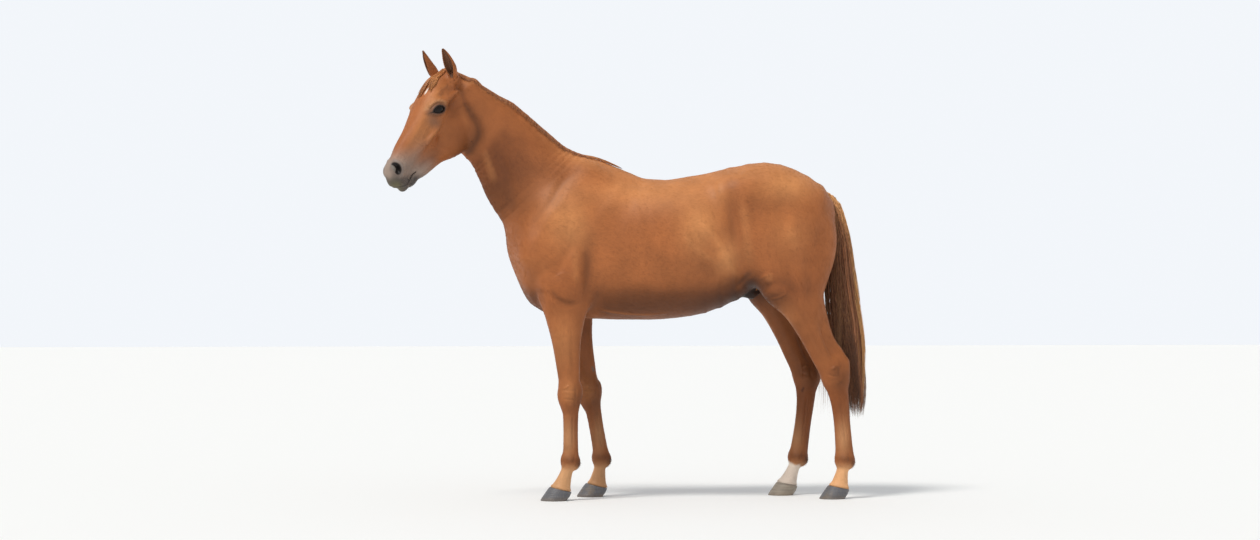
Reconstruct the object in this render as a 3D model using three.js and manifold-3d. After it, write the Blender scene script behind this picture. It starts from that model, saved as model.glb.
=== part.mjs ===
// A life-size chestnut riding horse, standing square with its head up and turned a little to its left.
//
// Frame: millimetres, +Z up, the soles of the four hooves on z = 0. The head points to -X, the tail to +X,
// and the horse's left side is at -Y. The origin is on the floor, under the middle of the body.
//
// The flesh is one smooth field: tubes along the bones and ellipsoids for the muscles, melted together.
// The field is meshed region by region, with a finer grid where the body is thin, and the regions are
// parted by thin flat cuts. Ears, eyes, hooves and the three masses of long hair are lofts and spheres.

import * as THREE from "three";
import Module from "manifold-3d";

const wasm = await Module();
wasm.setup();

const radians = THREE.MathUtils.degToRad;
const v3 = (x, y, z) => new THREE.Vector3(x, y, z);
const box = (x0, x1, y0, y1, z0, z1) => new THREE.Box3(v3(x0, y0, z0), v3(x1, y1, z1));

// ---------------------------------------------------------------- driving dimensions

const BELLY = 868; // lowest point of the girth
const GAP = 0.8; // width of the cut between two neighbouring parts
const EYE_RADIUS = 26;
const EAR_WALL = 4.5;
const THROAT_MELT = 36; // how softly the head runs into the neck
const CLEARANCE = 2.5; // between the flesh and the hair or ears on it
const HOOF_HEIGHT = 64; // of the coronet at the toe

const HEAD_YAW = radians(35); // how far the head turns to the horse's left
const HEAD_PITCH = radians(58); // of the face line, below the horizontal
const POLL = v3(-872, -36, 2090);

// Grid size of each region's mesh.
const CELL = {
  trunk: v3(76, 56, 68),
  neck: v3(60, 46, 60),
  head: v3(31, 28, 35),
  upperLeg: v3(36, 34, 60),
  lowerLeg: v3(25, 23, 40),
};

// The shortest edge that is left in each kind of part.
const SHORTEST = { flesh: 9, head: 6, hair: 3, ear: 2, smooth: 1, trimmed: 0.7 };

// The middle of the horse's length, in the sizes below.
const CENTRE_X = -15;

const UP = v3(0, 0, 1);
const FORWARD = v3(-1, 0, 0);
const LEFT = -1;
const RIGHT = 1;

// ---------------------------------------------------------------- fields

// Value of a smooth curve through (at[i], values[i]), flat past both ends.
function smoothValue(at, values, t) {
  const last = at.length - 1;
  if (t <= at[0]) return values[0];
  if (t >= at[last]) return values[last];
  let i = 0;
  while (t > at[i + 1]) i++;
  const slope = (k) =>
    k <= 0 || k >= last ? 0 : (values[k + 1] - values[k - 1]) / (at[k + 1] - at[k - 1]);
  const h = at[i + 1] - at[i];
  const s = (t - at[i]) / h;
  const s2 = s * s;
  const s3 = s2 * s;
  return (
    (2 * s3 - 3 * s2 + 1) * values[i] +
    (s3 - 2 * s2 + s) * h * slope(i) +
    (3 * s2 - 2 * s3) * values[i + 1] +
    (s3 - s2) * h * slope(i + 1)
  );
}

// A closed tube whose axis runs through the given points. At the stations `at`, from 0 to 1 along the axis,
// it reaches `top` towards the reference direction, `bottom` away from it, `out` to the given side and `inn`
// to the other. Its ends are round. The field is roughly the distance to the tube, negative inside.
function tube(shape) {
  const { axis, towards, at, top, bottom = top, out, inn = out, power = 2, side = RIGHT } = shape;
  const { ends = [1, 1] } = shape;
  const STEPS = 26;
  const curve = new THREE.CatmullRomCurve3(axis, false, "centripetal");
  const centres = curve.getSpacedPoints(STEPS);
  const rings = centres.map((centre, i) => {
    const tangent = curve.getTangentAt(i / STEPS);
    const normal = towards.clone().addScaledVector(tangent, -towards.dot(tangent)).normalize();
    const lateral = tangent.clone().cross(normal);
    if (lateral.y * side < 0) lateral.negate();
    const value = (list) => smoothValue(at, list, i / STEPS);
    return {
      centre, tangent, normal, lateral,
      top: value(top), bottom: value(bottom), out: value(out), inn: value(inn),
    };
  });
  const cap = ends.map((share, e) => {
    const ring = rings[e * STEPS];
    return (share * (ring.top + ring.bottom + ring.out + ring.inn)) / 4;
  });
  const p = new THREE.Vector3();
  const lerp = THREE.MathUtils.lerp;
  return (x, y, z) => {
    let best = Infinity;
    let at0 = 0;
    let share = 0;
    for (let i = 0; i < STEPS; i++) {
      const a = rings[i].centre;
      const b = rings[i + 1].centre;
      const dx = b.x - a.x;
      const dy = b.y - a.y;
      const dz = b.z - a.z;
      const along = ((x - a.x) * dx + (y - a.y) * dy + (z - a.z) * dz) / (dx * dx + dy * dy + dz * dz);
      const s = Math.min(1, Math.max(0, along));
      const d = (x - a.x - s * dx) ** 2 + (y - a.y - s * dy) ** 2 + (z - a.z - s * dz) ** 2;
      if (d < best) {
        best = d;
        at0 = i;
        share = s;
      }
    }
    const a = rings[at0];
    const b = rings[at0 + 1];
    p.set(
      x - lerp(a.centre.x, b.centre.x, share),
      y - lerp(a.centre.y, b.centre.y, share),
      z - lerp(a.centre.z, b.centre.z, share),
    );
    const n = lerp(p.dot(a.normal), p.dot(b.normal), share);
    const l = lerp(p.dot(a.lateral), p.dot(b.lateral), share);
    const rn = n > 0 ? lerp(a.top, b.top, share) : lerp(a.bottom, b.bottom, share);
    const rl = l > 0 ? lerp(a.out, b.out, share) : lerp(a.inn, b.inn, share);
    let past = 0;
    if (at0 === 0 && share === 0) past = Math.max(0, -p.dot(a.tangent)) / cap[0];
    if (at0 === STEPS - 1 && share === 1) past = Math.max(0, p.dot(b.tangent)) / cap[1];
    const across = (Math.abs(n / rn) ** power + Math.abs(l / rl) ** power) ** (1 / power);
    const q = Math.hypot(across, past);
    const length = p.length();
    return q < 1e-6 ? -Math.min(rn, rl) : length - length / q;
  };
}

const tipped = (dip) => new THREE.Matrix4().makeRotationY(radians(dip));

// An ellipsoid with its three radii along the axes of a frame: the model's own, tipped nose down by `dip`
// degrees, unless another is given.
function ball({ at, radii, dip = 0, frame = tipped(dip) }) {
  const back = frame.clone().invert();
  const p = new THREE.Vector3();
  const [rx, ry, rz] = radii;
  return (x, y, z) => {
    p.set(x - at.x, y - at.y, z - at.z).applyMatrix4(back);
    const k0 = Math.hypot(p.x / rx, p.y / ry, p.z / rz);
    const k1 = Math.hypot(p.x / rx ** 2, p.y / ry ** 2, p.z / rz ** 2);
    return k1 < 1e-9 ? -Math.min(rx, ry, rz) : (k0 * (k0 - 1)) / k1;
  };
}

// The smaller of two distances, rounded over a width k where they cross.
function meld(a, b, k) {
  const h = Math.max(k - Math.abs(a - b), 0) / k;
  return Math.min(a, b) - (h * h * k) / 4;
}

// One body out of many: each entry is [field, how softly it melts in, sign], where sign -1 hollows it out.
function body(parts) {
  return (x, y, z) => {
    let d = 1e6;
    for (const [field, k, sign = 1] of parts) {
      const e = field(x, y, z);
      d = sign > 0 ? meld(d, e, k) : -meld(-d, e, k);
    }
    return d;
  };
}

// ---------------------------------------------------------------- the head's own frame

// u runs from the poll to the muzzle along the face line, v to the forehead, w to the horse's right.
const headAhead = v3(-Math.cos(HEAD_YAW), -Math.sin(HEAD_YAW), 0);
const tilted = (level, up) => headAhead.clone().multiplyScalar(level).addScaledVector(UP, up);
const headU = tilted(Math.cos(HEAD_PITCH), -Math.sin(HEAD_PITCH));
const headV = tilted(Math.sin(HEAD_PITCH), Math.cos(HEAD_PITCH));
const headW = v3(-Math.sin(HEAD_YAW), Math.cos(HEAD_YAW), 0);
const headPoint = (u, v, w = 0) =>
  POLL.clone().addScaledVector(headU, u).addScaledVector(headV, v).addScaledVector(headW, w);
const headTurn = new THREE.Matrix4().makeBasis(headU, headV, headW);

// An ellipsoid of the head, with its radii along u, v and w, tilted by `tilt` degrees seen from the side.
function headBall(u, v, w, radii, tilt = 0) {
  const turned = headTurn.clone().multiply(new THREE.Matrix4().makeRotationZ(radians(tilt)));
  return ball({ at: headPoint(u, v, w), radii, frame: turned });
}

const EYE = { u: 251, v: 9, w: 79 };

function headFlesh() {
  const skull = tube({
    axis: [headPoint(36, -6), headPoint(200, 8), headPoint(400, 0), headPoint(606, 8)],
    towards: headV,
    at: [0, 0.17, 0.33, 0.5, 0.66, 0.83, 1],
    top: [40, 66, 72, 72, 71, 71, 56],
    bottom: [60, 80, 92, 88, 78, 66, 55],
    out: [52, 68, 82, 74, 57, 47, 46],
    power: 2.3,
    ends: [0.6, 0.8],
  });
  const jaw = tube({
    axis: [
      headPoint(150, -80), headPoint(240, -140), headPoint(320, -158), headPoint(420, -128),
      headPoint(590, -75),
    ],
    towards: headV,
    at: [0, 0.22, 0.4, 0.62, 0.84, 1],
    top: [50, 80, 80, 60, 45, 30],
    bottom: [70, 96, 94, 58, 46, 30],
    out: [60, 78, 74, 56, 42, 34],
    power: 2.3,
    ends: [0.7, 0.7],
  });
  const parts = [
    [skull, 20],
    [jaw, 34],
    [headBall(602, 8, 0, [62, 59, 46]), 26], // the muzzle
    [headBall(42, -86, 0, [50, 58, 38]), 34], // the poll
    [headBall(640, -6, 0, [47, 44, 38]), 22], // the upper lip
    [headBall(632, -56, 0, [44, 30, 32], -16), 22], // the lower lip
    [headBall(600, -82, 0, [36, 27, 29]), 16], // the chin
  ];
  for (const w of [LEFT, RIGHT]) {
    parts.push(
      [headBall(236, 26, 80 * w, [52, 26, 26], 6), 24], // the bony rim over the eye
      [headBall(170, -22, 76 * w, [70, 14, 18], 22), 22], // the arch from the eye to the ear
      [headBall(285, -150, 50 * w, [104, 100, 38]), 22], // the big cheek muscle
      [headBall(340, -40, 66 * w, [84, 15, 18]), 20], // the facial crest
      [headBall(606, 26, 35 * w, [38, 26, 19], 12), 26], // the flare of the nostril
      [headBall(160, 22, 78 * w, [24, 13, 12]), 16, -1], // the hollow above the eye
      [headBall(62, -4, 52 * w, [38, 28, 26]), 22], // the root of the ear
    );
  }
  parts.push([headBall(400, -236, 0, [150, 52, 22], 28), 22, -1]); // between the two jaw bones
  return parts;
}

// ---------------------------------------------------------------- trunk and neck

function trunkFlesh() {
  const barrelX = [-470, -400, -300, -200, -100, 0, 100, 200, 300, 400, 500, 600, 700, 800, 885, 945];
  const middle = [
    1190, 1195, 1200, 1205, 1212, 1218, 1222, 1228, 1240, 1262, 1300, 1335, 1350, 1352, 1345, 1330,
  ];
  const top = [1330, 1410, 1470, 1506, 1530, 1542, 1546, 1554, 1568, 1588, 1610, 1632, 1628, 1598, 1546, 1470];
  const bottom = [960, 900, 878, 872, BELLY, BELLY, BELLY, 876, 894, 938, 1000, 1052, 1100, 1135, 1150, 1190];
  const width = [120, 165, 195, 222, 248, 272, 288, 296, 292, 279, 262, 248, 236, 214, 176, 110];
  const span = barrelX.at(-1) - barrelX[0];
  const barrel = tube({
    axis: barrelX.map((x, i) => v3(x, 0, middle[i])),
    towards: UP,
    at: barrelX.map((x) => (x - barrelX[0]) / span),
    top: top.map((z, i) => z - middle[i]),
    bottom: bottom.map((z, i) => middle[i] - z),
    out: width,
    power: 2.15,
    ends: [0.5, 0.4],
  });
  const withers = tube({
    axis: [v3(-300, 0, 1560), v3(-150, 0, 1556), v3(-20, 0, 1530), v3(110, 0, 1500)],
    towards: UP,
    at: [0, 0.35, 0.65, 1],
    top: [74, 54, 42, 34],
    bottom: [100, 90, 80, 60],
    out: [52, 56, 66, 80],
    power: 1.8,
  });
  const neck = tube({
    axis: [
      v3(-200, 0, 1345), v3(-349, 0, 1466), v3(-444, 0, 1556), v3(-540, -2, 1676), v3(-603, -6, 1750),
      v3(-658, -12, 1801), v3(-706, -18, 1850), v3(-760, -26, 1912), v3(-812, -34, 1970),
    ],
    towards: v3(0.72, 0, 0.69),
    at: [0, 0.18, 0.31, 0.48, 0.59, 0.68, 0.77, 0.89, 1],
    top: [270, 246, 210, 182, 162, 150, 145, 109, 84],
    bottom: [316, 306, 280, 254, 230, 214, 202, 176, 130],
    out: [196, 172, 142, 108, 90, 82, 77, 74, 66],
    power: 1.85,
    ends: [0.5, 0.5],
  });
  const parts = [
    [barrel, 20],
    [withers, 60],
    [neck, 110],
    [ball({ at: v3(-486, 0, 1240), radii: [96, 92, 112] }), 110], // front of the breast bone
    [ball({ at: v3(592, 0, 1003), radii: [62, 36, 34], dip: 18 }), 26], // the sheath
    [ball({ at: v3(-560, 0, 1090), radii: [70, 12, 130], dip: -10 }), 40, -1], // between the breast muscles
  ];
  for (const s of [LEFT, RIGHT]) {
    const shoulderBlade = tube({
      axis: [v3(-455, 158 * s, 1200), v3(-340, 158 * s, 1380), v3(-215, 92 * s, 1560)],
      towards: v3(1, 0, 0.2),
      at: [0, 0.5, 1],
      top: [85, 105, 95],
      bottom: [80, 95, 70],
      out: [62, 52, 34],
      side: s,
    });
    const rump = tube({
      axis: [v3(500, 146 * s, 1476), v3(680, 128 * s, 1488), v3(852, 92 * s, 1395)],
      towards: UP,
      at: [0, 0.4, 1],
      top: [84, 118, 110],
      bottom: [110, 150, 140],
      out: [80, 118, 92],
      side: s,
    });
    const hamstring = tube({
      axis: [v3(878, 80 * s, 1405), v3(912, 104 * s, 1270), v3(880, 132 * s, 1090), v3(866, 156 * s, 930)],
      towards: v3(1, 0, 0),
      at: [0, 0.35, 0.7, 1],
      top: [74, 86, 78, 50],
      bottom: [80, 100, 100, 80],
      out: [74, 86, 78, 64],
      inn: [60, 78, 76, 62],
      side: s,
    });
    const thighFront = tube({
      axis: [v3(560, 200 * s, 1400), v3(640, 196 * s, 1200), v3(706, 186 * s, 1030)],
      towards: FORWARD,
      at: [0, 0.5, 1],
      top: [58, 84, 72],
      bottom: [90, 120, 100],
      out: [44, 64, 66],
      inn: [60, 80, 80],
      side: s,
    });
    parts.push(
      [shoulderBlade, 70],
      [ball({ at: v3(-400, 84 * s, 1320), radii: [128, 84, 150], dip: 20 }), 110], // base of the neck
      [ball({ at: v3(-428, 84 * s, 1120), radii: [108, 96, 206], dip: -10 }), 100], // breast
      [ball({ at: v3(-452, 164 * s, 1190), radii: [80, 52, 92] }), 60], // point of the shoulder
      [ball({ at: v3(-300, 170 * s, 1090), radii: [130, 60, 150], dip: 24 }), 50], // triceps
      [rump, 110],
      [ball({ at: v3(522, 200 * s, 1486), radii: [60, 42, 52] }), 90], // point of the hip
      [ball({ at: v3(770, 138 * s, 1215), radii: [206, 112, 215], dip: 10 }), 90], // thigh
      [hamstring, 46],
      [thighFront, 100],
    );
  }
  return parts;
}

// ---------------------------------------------------------------- legs

// Where each leg's joints are, seen from the side, and how far each joint is from the middle plane.
const leg = (side, hind, top, knee, fetlock, coronet) => ({ side, hind, top, knee, fetlock, coronet });
const LEGS = {
  fore_left: leg(LEFT, false, [-322, 930], [-303, 508], [-302, 192], [-346, 62]),
  fore_right: leg(RIGHT, false, [-262, 930], [-183, 508], [-127, 190], [-148, 62]),
  hind_left: leg(LEFT, true, [735, 1010], [985, 592], [1036, 190], [1008, 60]),
  hind_right: leg(RIGHT, true, [690, 1010], [894, 592], [852, 188], [800, 60]),
};
const STANCE = {
  fore: { top: 162, knee: 136, fetlock: 130, coronet: 130 },
  hind: { top: 180, knee: 150, fetlock: 142, coronet: 142 },
};

function legPoint(leg, joint) {
  const spread = STANCE[leg.hind ? "hind" : "fore"][joint];
  return v3(leg[joint][0], spread * leg.side, leg[joint][1]);
}

// From the fetlock to the hoof, the same in all four legs.
function footFlesh(leg) {
  const fetlock = legPoint(leg, "fetlock");
  const coronet = legPoint(leg, "coronet");
  const big = leg.hind ? 1.05 : 1;
  const pastern = tube({
    axis: [fetlock, coronet, coronet.clone().lerp(fetlock, -0.28)],
    towards: FORWARD,
    at: [0, 0.3, 0.62, 0.85, 1],
    top: [38, 30, 38, 51, 55],
    bottom: [36, 29, 38, 50, 52],
    out: [34, 30, 38, 52, 55],
    side: leg.side,
    ends: [0.6, 0.2],
  });
  return [
    [pastern, 20],
    [ball({ at: fetlock.clone().add(v3(-3, 0, 0)), radii: [39 * big, 35 * big, 42 * big] }), 22],
    [ball({ at: fetlock.clone().add(v3(24 * big, 0, -12)), radii: [20, 26, 28] }), 18],
  ];
}

function forelegFlesh(leg) {
  const top = legPoint(leg, "top");
  const knee = legPoint(leg, "knee");
  const fetlock = legPoint(leg, "fetlock");
  const forearm = tube({
    axis: [top.clone().lerp(knee, -0.2), top, knee],
    towards: FORWARD,
    at: [0, 0.17, 0.3, 0.5, 0.75, 0.92, 1],
    top: [124, 118, 102, 80, 62, 52, 52],
    bottom: [110, 104, 84, 63, 52, 47, 48],
    out: [70, 66, 63, 54, 45, 43, 46],
    inn: [60, 56, 53, 47, 41, 42, 45],
    side: leg.side,
  });
  const cannon = tube({
    axis: [knee, fetlock],
    towards: FORWARD,
    at: [0, 0.18, 0.32, 0.55, 0.8, 1],
    top: [50, 42, 37, 35, 36, 40],
    bottom: [46, 42, 39, 37, 38, 40],
    out: [42, 35, 29, 27, 29, 33],
    side: leg.side,
  });
  return [
    [forearm, 60],
    [cannon, 20],
    [ball({ at: knee.clone().add(v3(-5, 0, 2)), radii: [51, 46, 80] }), 30],
    [ball({ at: knee.clone().add(v3(40, 4 * leg.side, 24)), radii: [15, 16, 34] }), 18], // back of the knee
    ...footFlesh(leg),
  ];
}

function hindlegFlesh(leg) {
  const stifle = legPoint(leg, "top");
  const hock = legPoint(leg, "knee");
  const fetlock = legPoint(leg, "fetlock");
  const heel = hock.clone().add(v3(52, 0, 72)); // point of the hock
  const gaskin = tube({
    axis: [stifle, hock],
    towards: FORWARD,
    at: [0, 0.25, 0.5, 0.75, 1],
    top: [84, 62, 55, 57, 58],
    bottom: [150, 118, 84, 60, 58],
    out: [76, 70, 56, 43, 44],
    inn: [76, 64, 50, 41, 44],
    side: leg.side,
  });
  const tendon = tube({
    axis: [
      stifle.clone().lerp(hock, 0.2).add(v3(96, -10 * leg.side, 24)),
      stifle.clone().lerp(hock, 0.62).add(v3(64, -4 * leg.side, 36)),
      heel,
      heel.clone().add(v3(-6, 0, -82)),
    ],
    towards: v3(1, 0, 0),
    at: [0, 0.3, 0.55, 0.78, 1],
    top: [46, 32, 20, 22, 20],
    bottom: [70, 60, 36, 36, 40],
    out: [48, 34, 18, 21, 22],
    side: leg.side,
  });
  const cannon = tube({
    axis: [hock, hock.clone().lerp(fetlock, 0.3).add(v3(10, 0, 0)), fetlock],
    towards: FORWARD,
    at: [0, 0.16, 0.32, 0.55, 0.8, 1],
    top: [60, 52, 45, 41, 42, 46],
    bottom: [60, 52, 45, 41, 43, 46],
    out: [46, 38, 31, 28, 30, 34],
    side: leg.side,
  });
  return [
    [gaskin, 60],
    [tendon, 18],
    [ball({ at: hock.clone().add(v3(2, 0, 8)), radii: [60, 46, 92], dip: -14 }), 30],
    [cannon, 20],
    ...footFlesh(leg),
  ];
}

const headOnly = body(headFlesh());
const trunkOnly = body([
  ...trunkFlesh(),
  ...Object.values(LEGS).flatMap((leg) => (leg.hind ? hindlegFlesh(leg) : forelegFlesh(leg))),
]);
const flesh = (x, y, z) => meld(headOnly(x, y, z), trunkOnly(x, y, z), THROAT_MELT);

// ---------------------------------------------------------------- meshing a field

// A box to mesh in: `frame` stands it in the model, and the grid runs along the frame's own axes.
const upright = (...bounds) => ({ frame: new THREE.Matrix4(), box: box(...bounds) });

// A box around a limb, whose z axis runs down the limb from one point to another and some way past both.
function around(from, to, { before, after, front, back, half }) {
  const down = to.clone().sub(from);
  const length = down.length();
  const z = down.normalize();
  const y = v3(0, 1, 0).addScaledVector(z, -z.y).normalize();
  const frame = new THREE.Matrix4().makeBasis(y.clone().cross(z), y, z).setPosition(from);
  return { frame, box: box(-back, front, -half, half, -before, length + after) };
}

// A closed mesh of the part of the field inside a region, with about one vertex in each cell of a grid. The
// vertices are then evened out along the surface.
function meshField(everywhere, { frame, box }, cell) {
  const p = new THREE.Vector3();
  const field = (x, y, z) => everywhere(...p.set(x, y, z).applyMatrix4(frame).toArray());
  const size = box.getSize(new THREE.Vector3());
  const [nx, ny, nz] = [size.x / cell.x, size.y / cell.y, size.z / cell.z].map((n) => Math.ceil(n) + 3);
  const origin = box.min.clone().addScaledVector(cell, -1.5);
  const centre = box.getCenter(new THREE.Vector3());
  const clipped = (x, y, z) =>
    Math.max(
      Math.abs(x - centre.x) - size.x / 2,
      Math.abs(y - centre.y) - size.y / 2,
      Math.abs(z - centre.z) - size.z / 2,
      field(x, y, z),
    );
  const at = (i, j, k) => i + nx * (j + ny * k);
  const values = new Float64Array(nx * ny * nz);
  for (let k = 0; k < nz; k++)
    for (let j = 0; j < ny; j++)
      for (let i = 0; i < nx; i++)
        values[at(i, j, k)] = clipped(origin.x + i * cell.x, origin.y + j * cell.y, origin.z + k * cell.z);

  const corners = [0, 1, 2, 3, 4, 5, 6, 7].map((c) => v3(c & 1, (c >> 1) & 1, c >> 2));
  const edges = [];
  for (let a = 0; a < 8; a++) for (const bit of [1, 2, 4]) if (!(a & bit)) edges.push([a, a | bit]);
  const vertexOf = new Int32Array(nx * ny * nz).fill(-1);
  const places = [];
  for (let k = 0; k < nz - 1; k++)
    for (let j = 0; j < ny - 1; j++)
      for (let i = 0; i < nx - 1; i++) {
        const value = corners.map((c) => values[at(i + c.x, j + c.y, k + c.z)]);
        const crossed = edges.filter(([a, b]) => value[a] < 0 !== value[b] < 0);
        if (!crossed.length) continue;
        const place = new THREE.Vector3();
        for (const [a, b] of crossed) {
          place.add(corners[a].clone().lerp(corners[b], value[a] / (value[a] - value[b])));
        }
        place.divideScalar(crossed.length).add(v3(i, j, k)).multiply(cell).add(origin);
        vertexOf[at(i, j, k)] = places.length;
        places.push(place);
      }

  const quads = [];
  const square = [[0, 0], [1, 0], [1, 1], [0, 1]];
  for (let k = 1; k < nz - 1; k++)
    for (let j = 1; j < ny - 1; j++)
      for (let i = 1; i < nx - 1; i++) {
        const here = values[at(i, j, k)] < 0;
        const cellAt = (a, b, c) => vertexOf[at(i - a, j - b, k - c)];
        const quad = (next, ring) => {
          if (here !== values[next] < 0) quads.push(here ? ring : ring.reverse());
        };
        quad(at(i + 1, j, k), square.map(([a, b]) => cellAt(0, a, b)));
        quad(at(i, j + 1, k), square.map(([a, b]) => cellAt(b, 0, a)));
        quad(at(i, j, k + 1), square.map(([a, b]) => cellAt(a, b, 0)));
      }

  evenOut(clipped, places, quads, Math.min(cell.x, cell.y, cell.z));
  const faces = quads.flatMap(([a, b, c, d]) => {
    const short = places[a].distanceToSquared(places[c]) < places[b].distanceToSquared(places[d]);
    return short ? [a, b, c, a, c, d] : [a, b, d, b, c, d];
  });
  return new THREE.BufferGeometry()
    .setAttribute("position", new THREE.Float32BufferAttribute(places.flatMap((p) => p.toArray()), 3))
    .setIndex(faces)
    .applyMatrix4(frame);
}

// Draws each vertex towards the middle of its neighbours, then back onto the surface.
function evenOut(field, places, quads, reach) {
  const ROUNDS = 3;
  const PULL = 0.6;
  places.forEach((p) => onto(field, p, reach));
  for (let round = 0; round < ROUNDS; round++) {
    const middle = places.map(() => new THREE.Vector4(0, 0, 0, 0));
    for (const quad of quads)
      quad.forEach((a, n) => {
        const p = places[quad[(n + 1) % 4]];
        middle[a].add(new THREE.Vector4(p.x, p.y, p.z, 1));
      });
    places.forEach((p, n) => {
      const m = middle[n];
      p.lerp(v3(m.x / m.w, m.y / m.w, m.z / m.w), PULL);
      onto(field, p, reach);
    });
  }
}

// Moves a point onto the field's surface, by no more than `reach`.
function onto(field, p, reach) {
  const STEP = 0.5;
  const start = p.clone();
  for (let n = 0; n < 3; n++) {
    const d = field(p.x, p.y, p.z);
    const g = v3(
      field(p.x + STEP, p.y, p.z) - field(p.x - STEP, p.y, p.z),
      field(p.x, p.y + STEP, p.z) - field(p.x, p.y - STEP, p.z),
      field(p.x, p.y, p.z + STEP) - field(p.x, p.y, p.z - STEP),
    ).divideScalar(2 * STEP);
    p.addScaledVector(g, -d / Math.max(g.lengthSq(), 0.25));
  }
  const moved = p.clone().sub(start);
  if (moved.length() > reach) p.copy(start).addScaledVector(moved.normalize(), reach);
}

// ---------------------------------------------------------------- solids

const solid = (geometry) =>
  new wasm.Manifold(
    new wasm.Mesh({
      numProp: 3,
      vertProperties: new Float32Array(geometry.attributes.position.array),
      triVerts: new Uint32Array(geometry.index.array),
    }),
  );

const largest = (s) => s.decompose().sort((a, b) => b.volume() - a.volume())[0];

function geometryOf(s) {
  const m = s.getMesh();
  return new THREE.BufferGeometry()
    .setAttribute("position", new THREE.Float32BufferAttribute(Float32Array.from(m.vertProperties), 3))
    .setIndex(Array.from(m.triVerts));
}

// The same surface without its shortest edges, which cuts leave along their rims. Of an edge's two ends the
// one on the sharper corner stays where it is, so that cut faces stay flat.
function withoutSlivers(geometry, shortest) {
  const places = Array.from({ length: geometry.attributes.position.count }, (_, i) =>
    new THREE.Vector3().fromBufferAttribute(geometry.attributes.position, i),
  );
  const faces = [];
  for (let i = 0; i < geometry.index.count; i += 3) {
    faces.push([0, 1, 2].map((k) => geometry.index.getX(i + k)));
  }
  const facesAt = places.map(() => new Set());
  faces.forEach((face, f) => face.forEach((a) => facesAt[a].add(f)));
  const normalOf = ([a, b, c]) =>
    places[b].clone().sub(places[a]).cross(places[c].clone().sub(places[a])).normalize();
  const sharpness = (a) => {
    const sum = new THREE.Vector3();
    facesAt[a].forEach((f) => sum.add(normalOf(faces[f])));
    return 1 - sum.length() / facesAt[a].size;
  };
  const neighbours = (a) => new Set([...facesAt[a]].flatMap((f) => faces[f]).filter((b) => b !== a));

  function collapse(gone, kept) {
    const around = neighbours(kept);
    if ([...neighbours(gone)].filter((b) => around.has(b)).length !== 2) return false;
    const moved = [...facesAt[gone]].filter((f) => !faces[f].includes(kept));
    const after = (face) => face.map((b) => (b === gone ? kept : b));
    const flips = (f) => {
      const now = normalOf(faces[f]);
      return now.lengthSq() > 0.5 && now.dot(normalOf(after(faces[f]))) < 0.3;
    };
    if (moved.some(flips)) return false;
    for (const f of [...facesAt[gone]]) {
      if (faces[f].includes(kept)) {
        faces[f].forEach((b) => facesAt[b].delete(f));
        faces[f] = null;
      } else {
        faces[f] = after(faces[f]);
        facesAt[kept].add(f);
      }
    }
    facesAt[gone].clear();
    return true;
  }

  for (let changed = true; changed; ) {
    changed = false;
    const short = [];
    for (const face of faces.filter(Boolean))
      face.forEach((a, n) => {
        const b = face[(n + 1) % 3];
        const length = places[a].distanceTo(places[b]);
        if (a < b && length < shortest) short.push([length, a, b]);
      });
    for (const [, a, b] of short.sort((p, q) => p[0] - q[0])) {
      if (!facesAt[a].size || !facesAt[b].size || !neighbours(a).has(b)) continue;
      const [gone, kept] = sharpness(a) < sharpness(b) ? [a, b] : [b, a];
      changed = collapse(gone, kept) || collapse(kept, gone) || changed;
    }
  }
  const used = [...new Set(faces.filter(Boolean).flat())];
  const number = new Map(used.map((a, n) => [a, n]));
  return new THREE.BufferGeometry()
    .setAttribute("position", new THREE.Float32BufferAttribute(used.flatMap((a) => places[a].toArray()), 3))
    .setIndex(faces.filter(Boolean).flatMap((face) => face.map((a) => number.get(a))));
}

// What is left of a solid when others are cut out of it, along with copies of them moved a little each way.
const WAYS = [v3(0, 0, 0), UP, v3(0, 1, 0), v3(0, -1, 0), FORWARD, v3(1, 0, 0)];
function clearOf(s, others) {
  let rest = s;
  for (const other of others)
    for (const way of WAYS) {
      const moved = geometryOf(other).translate(...way.clone().multiplyScalar(CLEARANCE).toArray());
      rest = rest.subtract(solid(moved));
    }
  return rest;
}

// A flat cut through a point: the part above it is on the side that its normal points to.
function plane(towards, point) {
  const normal = towards.clone().normalize();
  return { normal, offset: normal.dot(point) };
}
const above = (s, cut) => s.trimByPlane(cut.normal.toArray(), cut.offset + GAP / 2);
const below = (s, cut) => s.trimByPlane(cut.normal.clone().negate().toArray(), -cut.offset + GAP / 2);

function boxSolid(b, grow = 0) {
  const size = b.getSize(new THREE.Vector3()).addScalar(2 * grow);
  const centre = b.getCenter(new THREE.Vector3());
  const g = new THREE.BoxGeometry(size.x, size.y, size.z).translate(centre.x, centre.y, centre.z);
  return solid(joined(g));
}

// A box or sphere geometry has split vertices at its edges: this joins those that are in one place.
function joined(g) {
  const position = g.attributes.position;
  const index = [];
  const places = [];
  const seen = new Map();
  const number = [];
  for (let i = 0; i < position.count; i++) {
    const p = [position.getX(i), position.getY(i), position.getZ(i)].map((c) => Math.round(c * 1e3) / 1e3);
    const key = p.join();
    if (!seen.has(key)) {
      seen.set(key, places.length / 3);
      places.push(...p);
    }
    number[i] = seen.get(key);
  }
  for (let i = 0; i < g.index.count; i += 3) {
    const [a, b, c] = [0, 1, 2].map((k) => number[g.index.getX(i + k)]);
    if (a !== b && b !== c && c !== a) index.push(a, b, c);
  }
  return new THREE.BufferGeometry()
    .setAttribute("position", new THREE.Float32BufferAttribute(places, 3))
    .setIndex(index);
}

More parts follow.
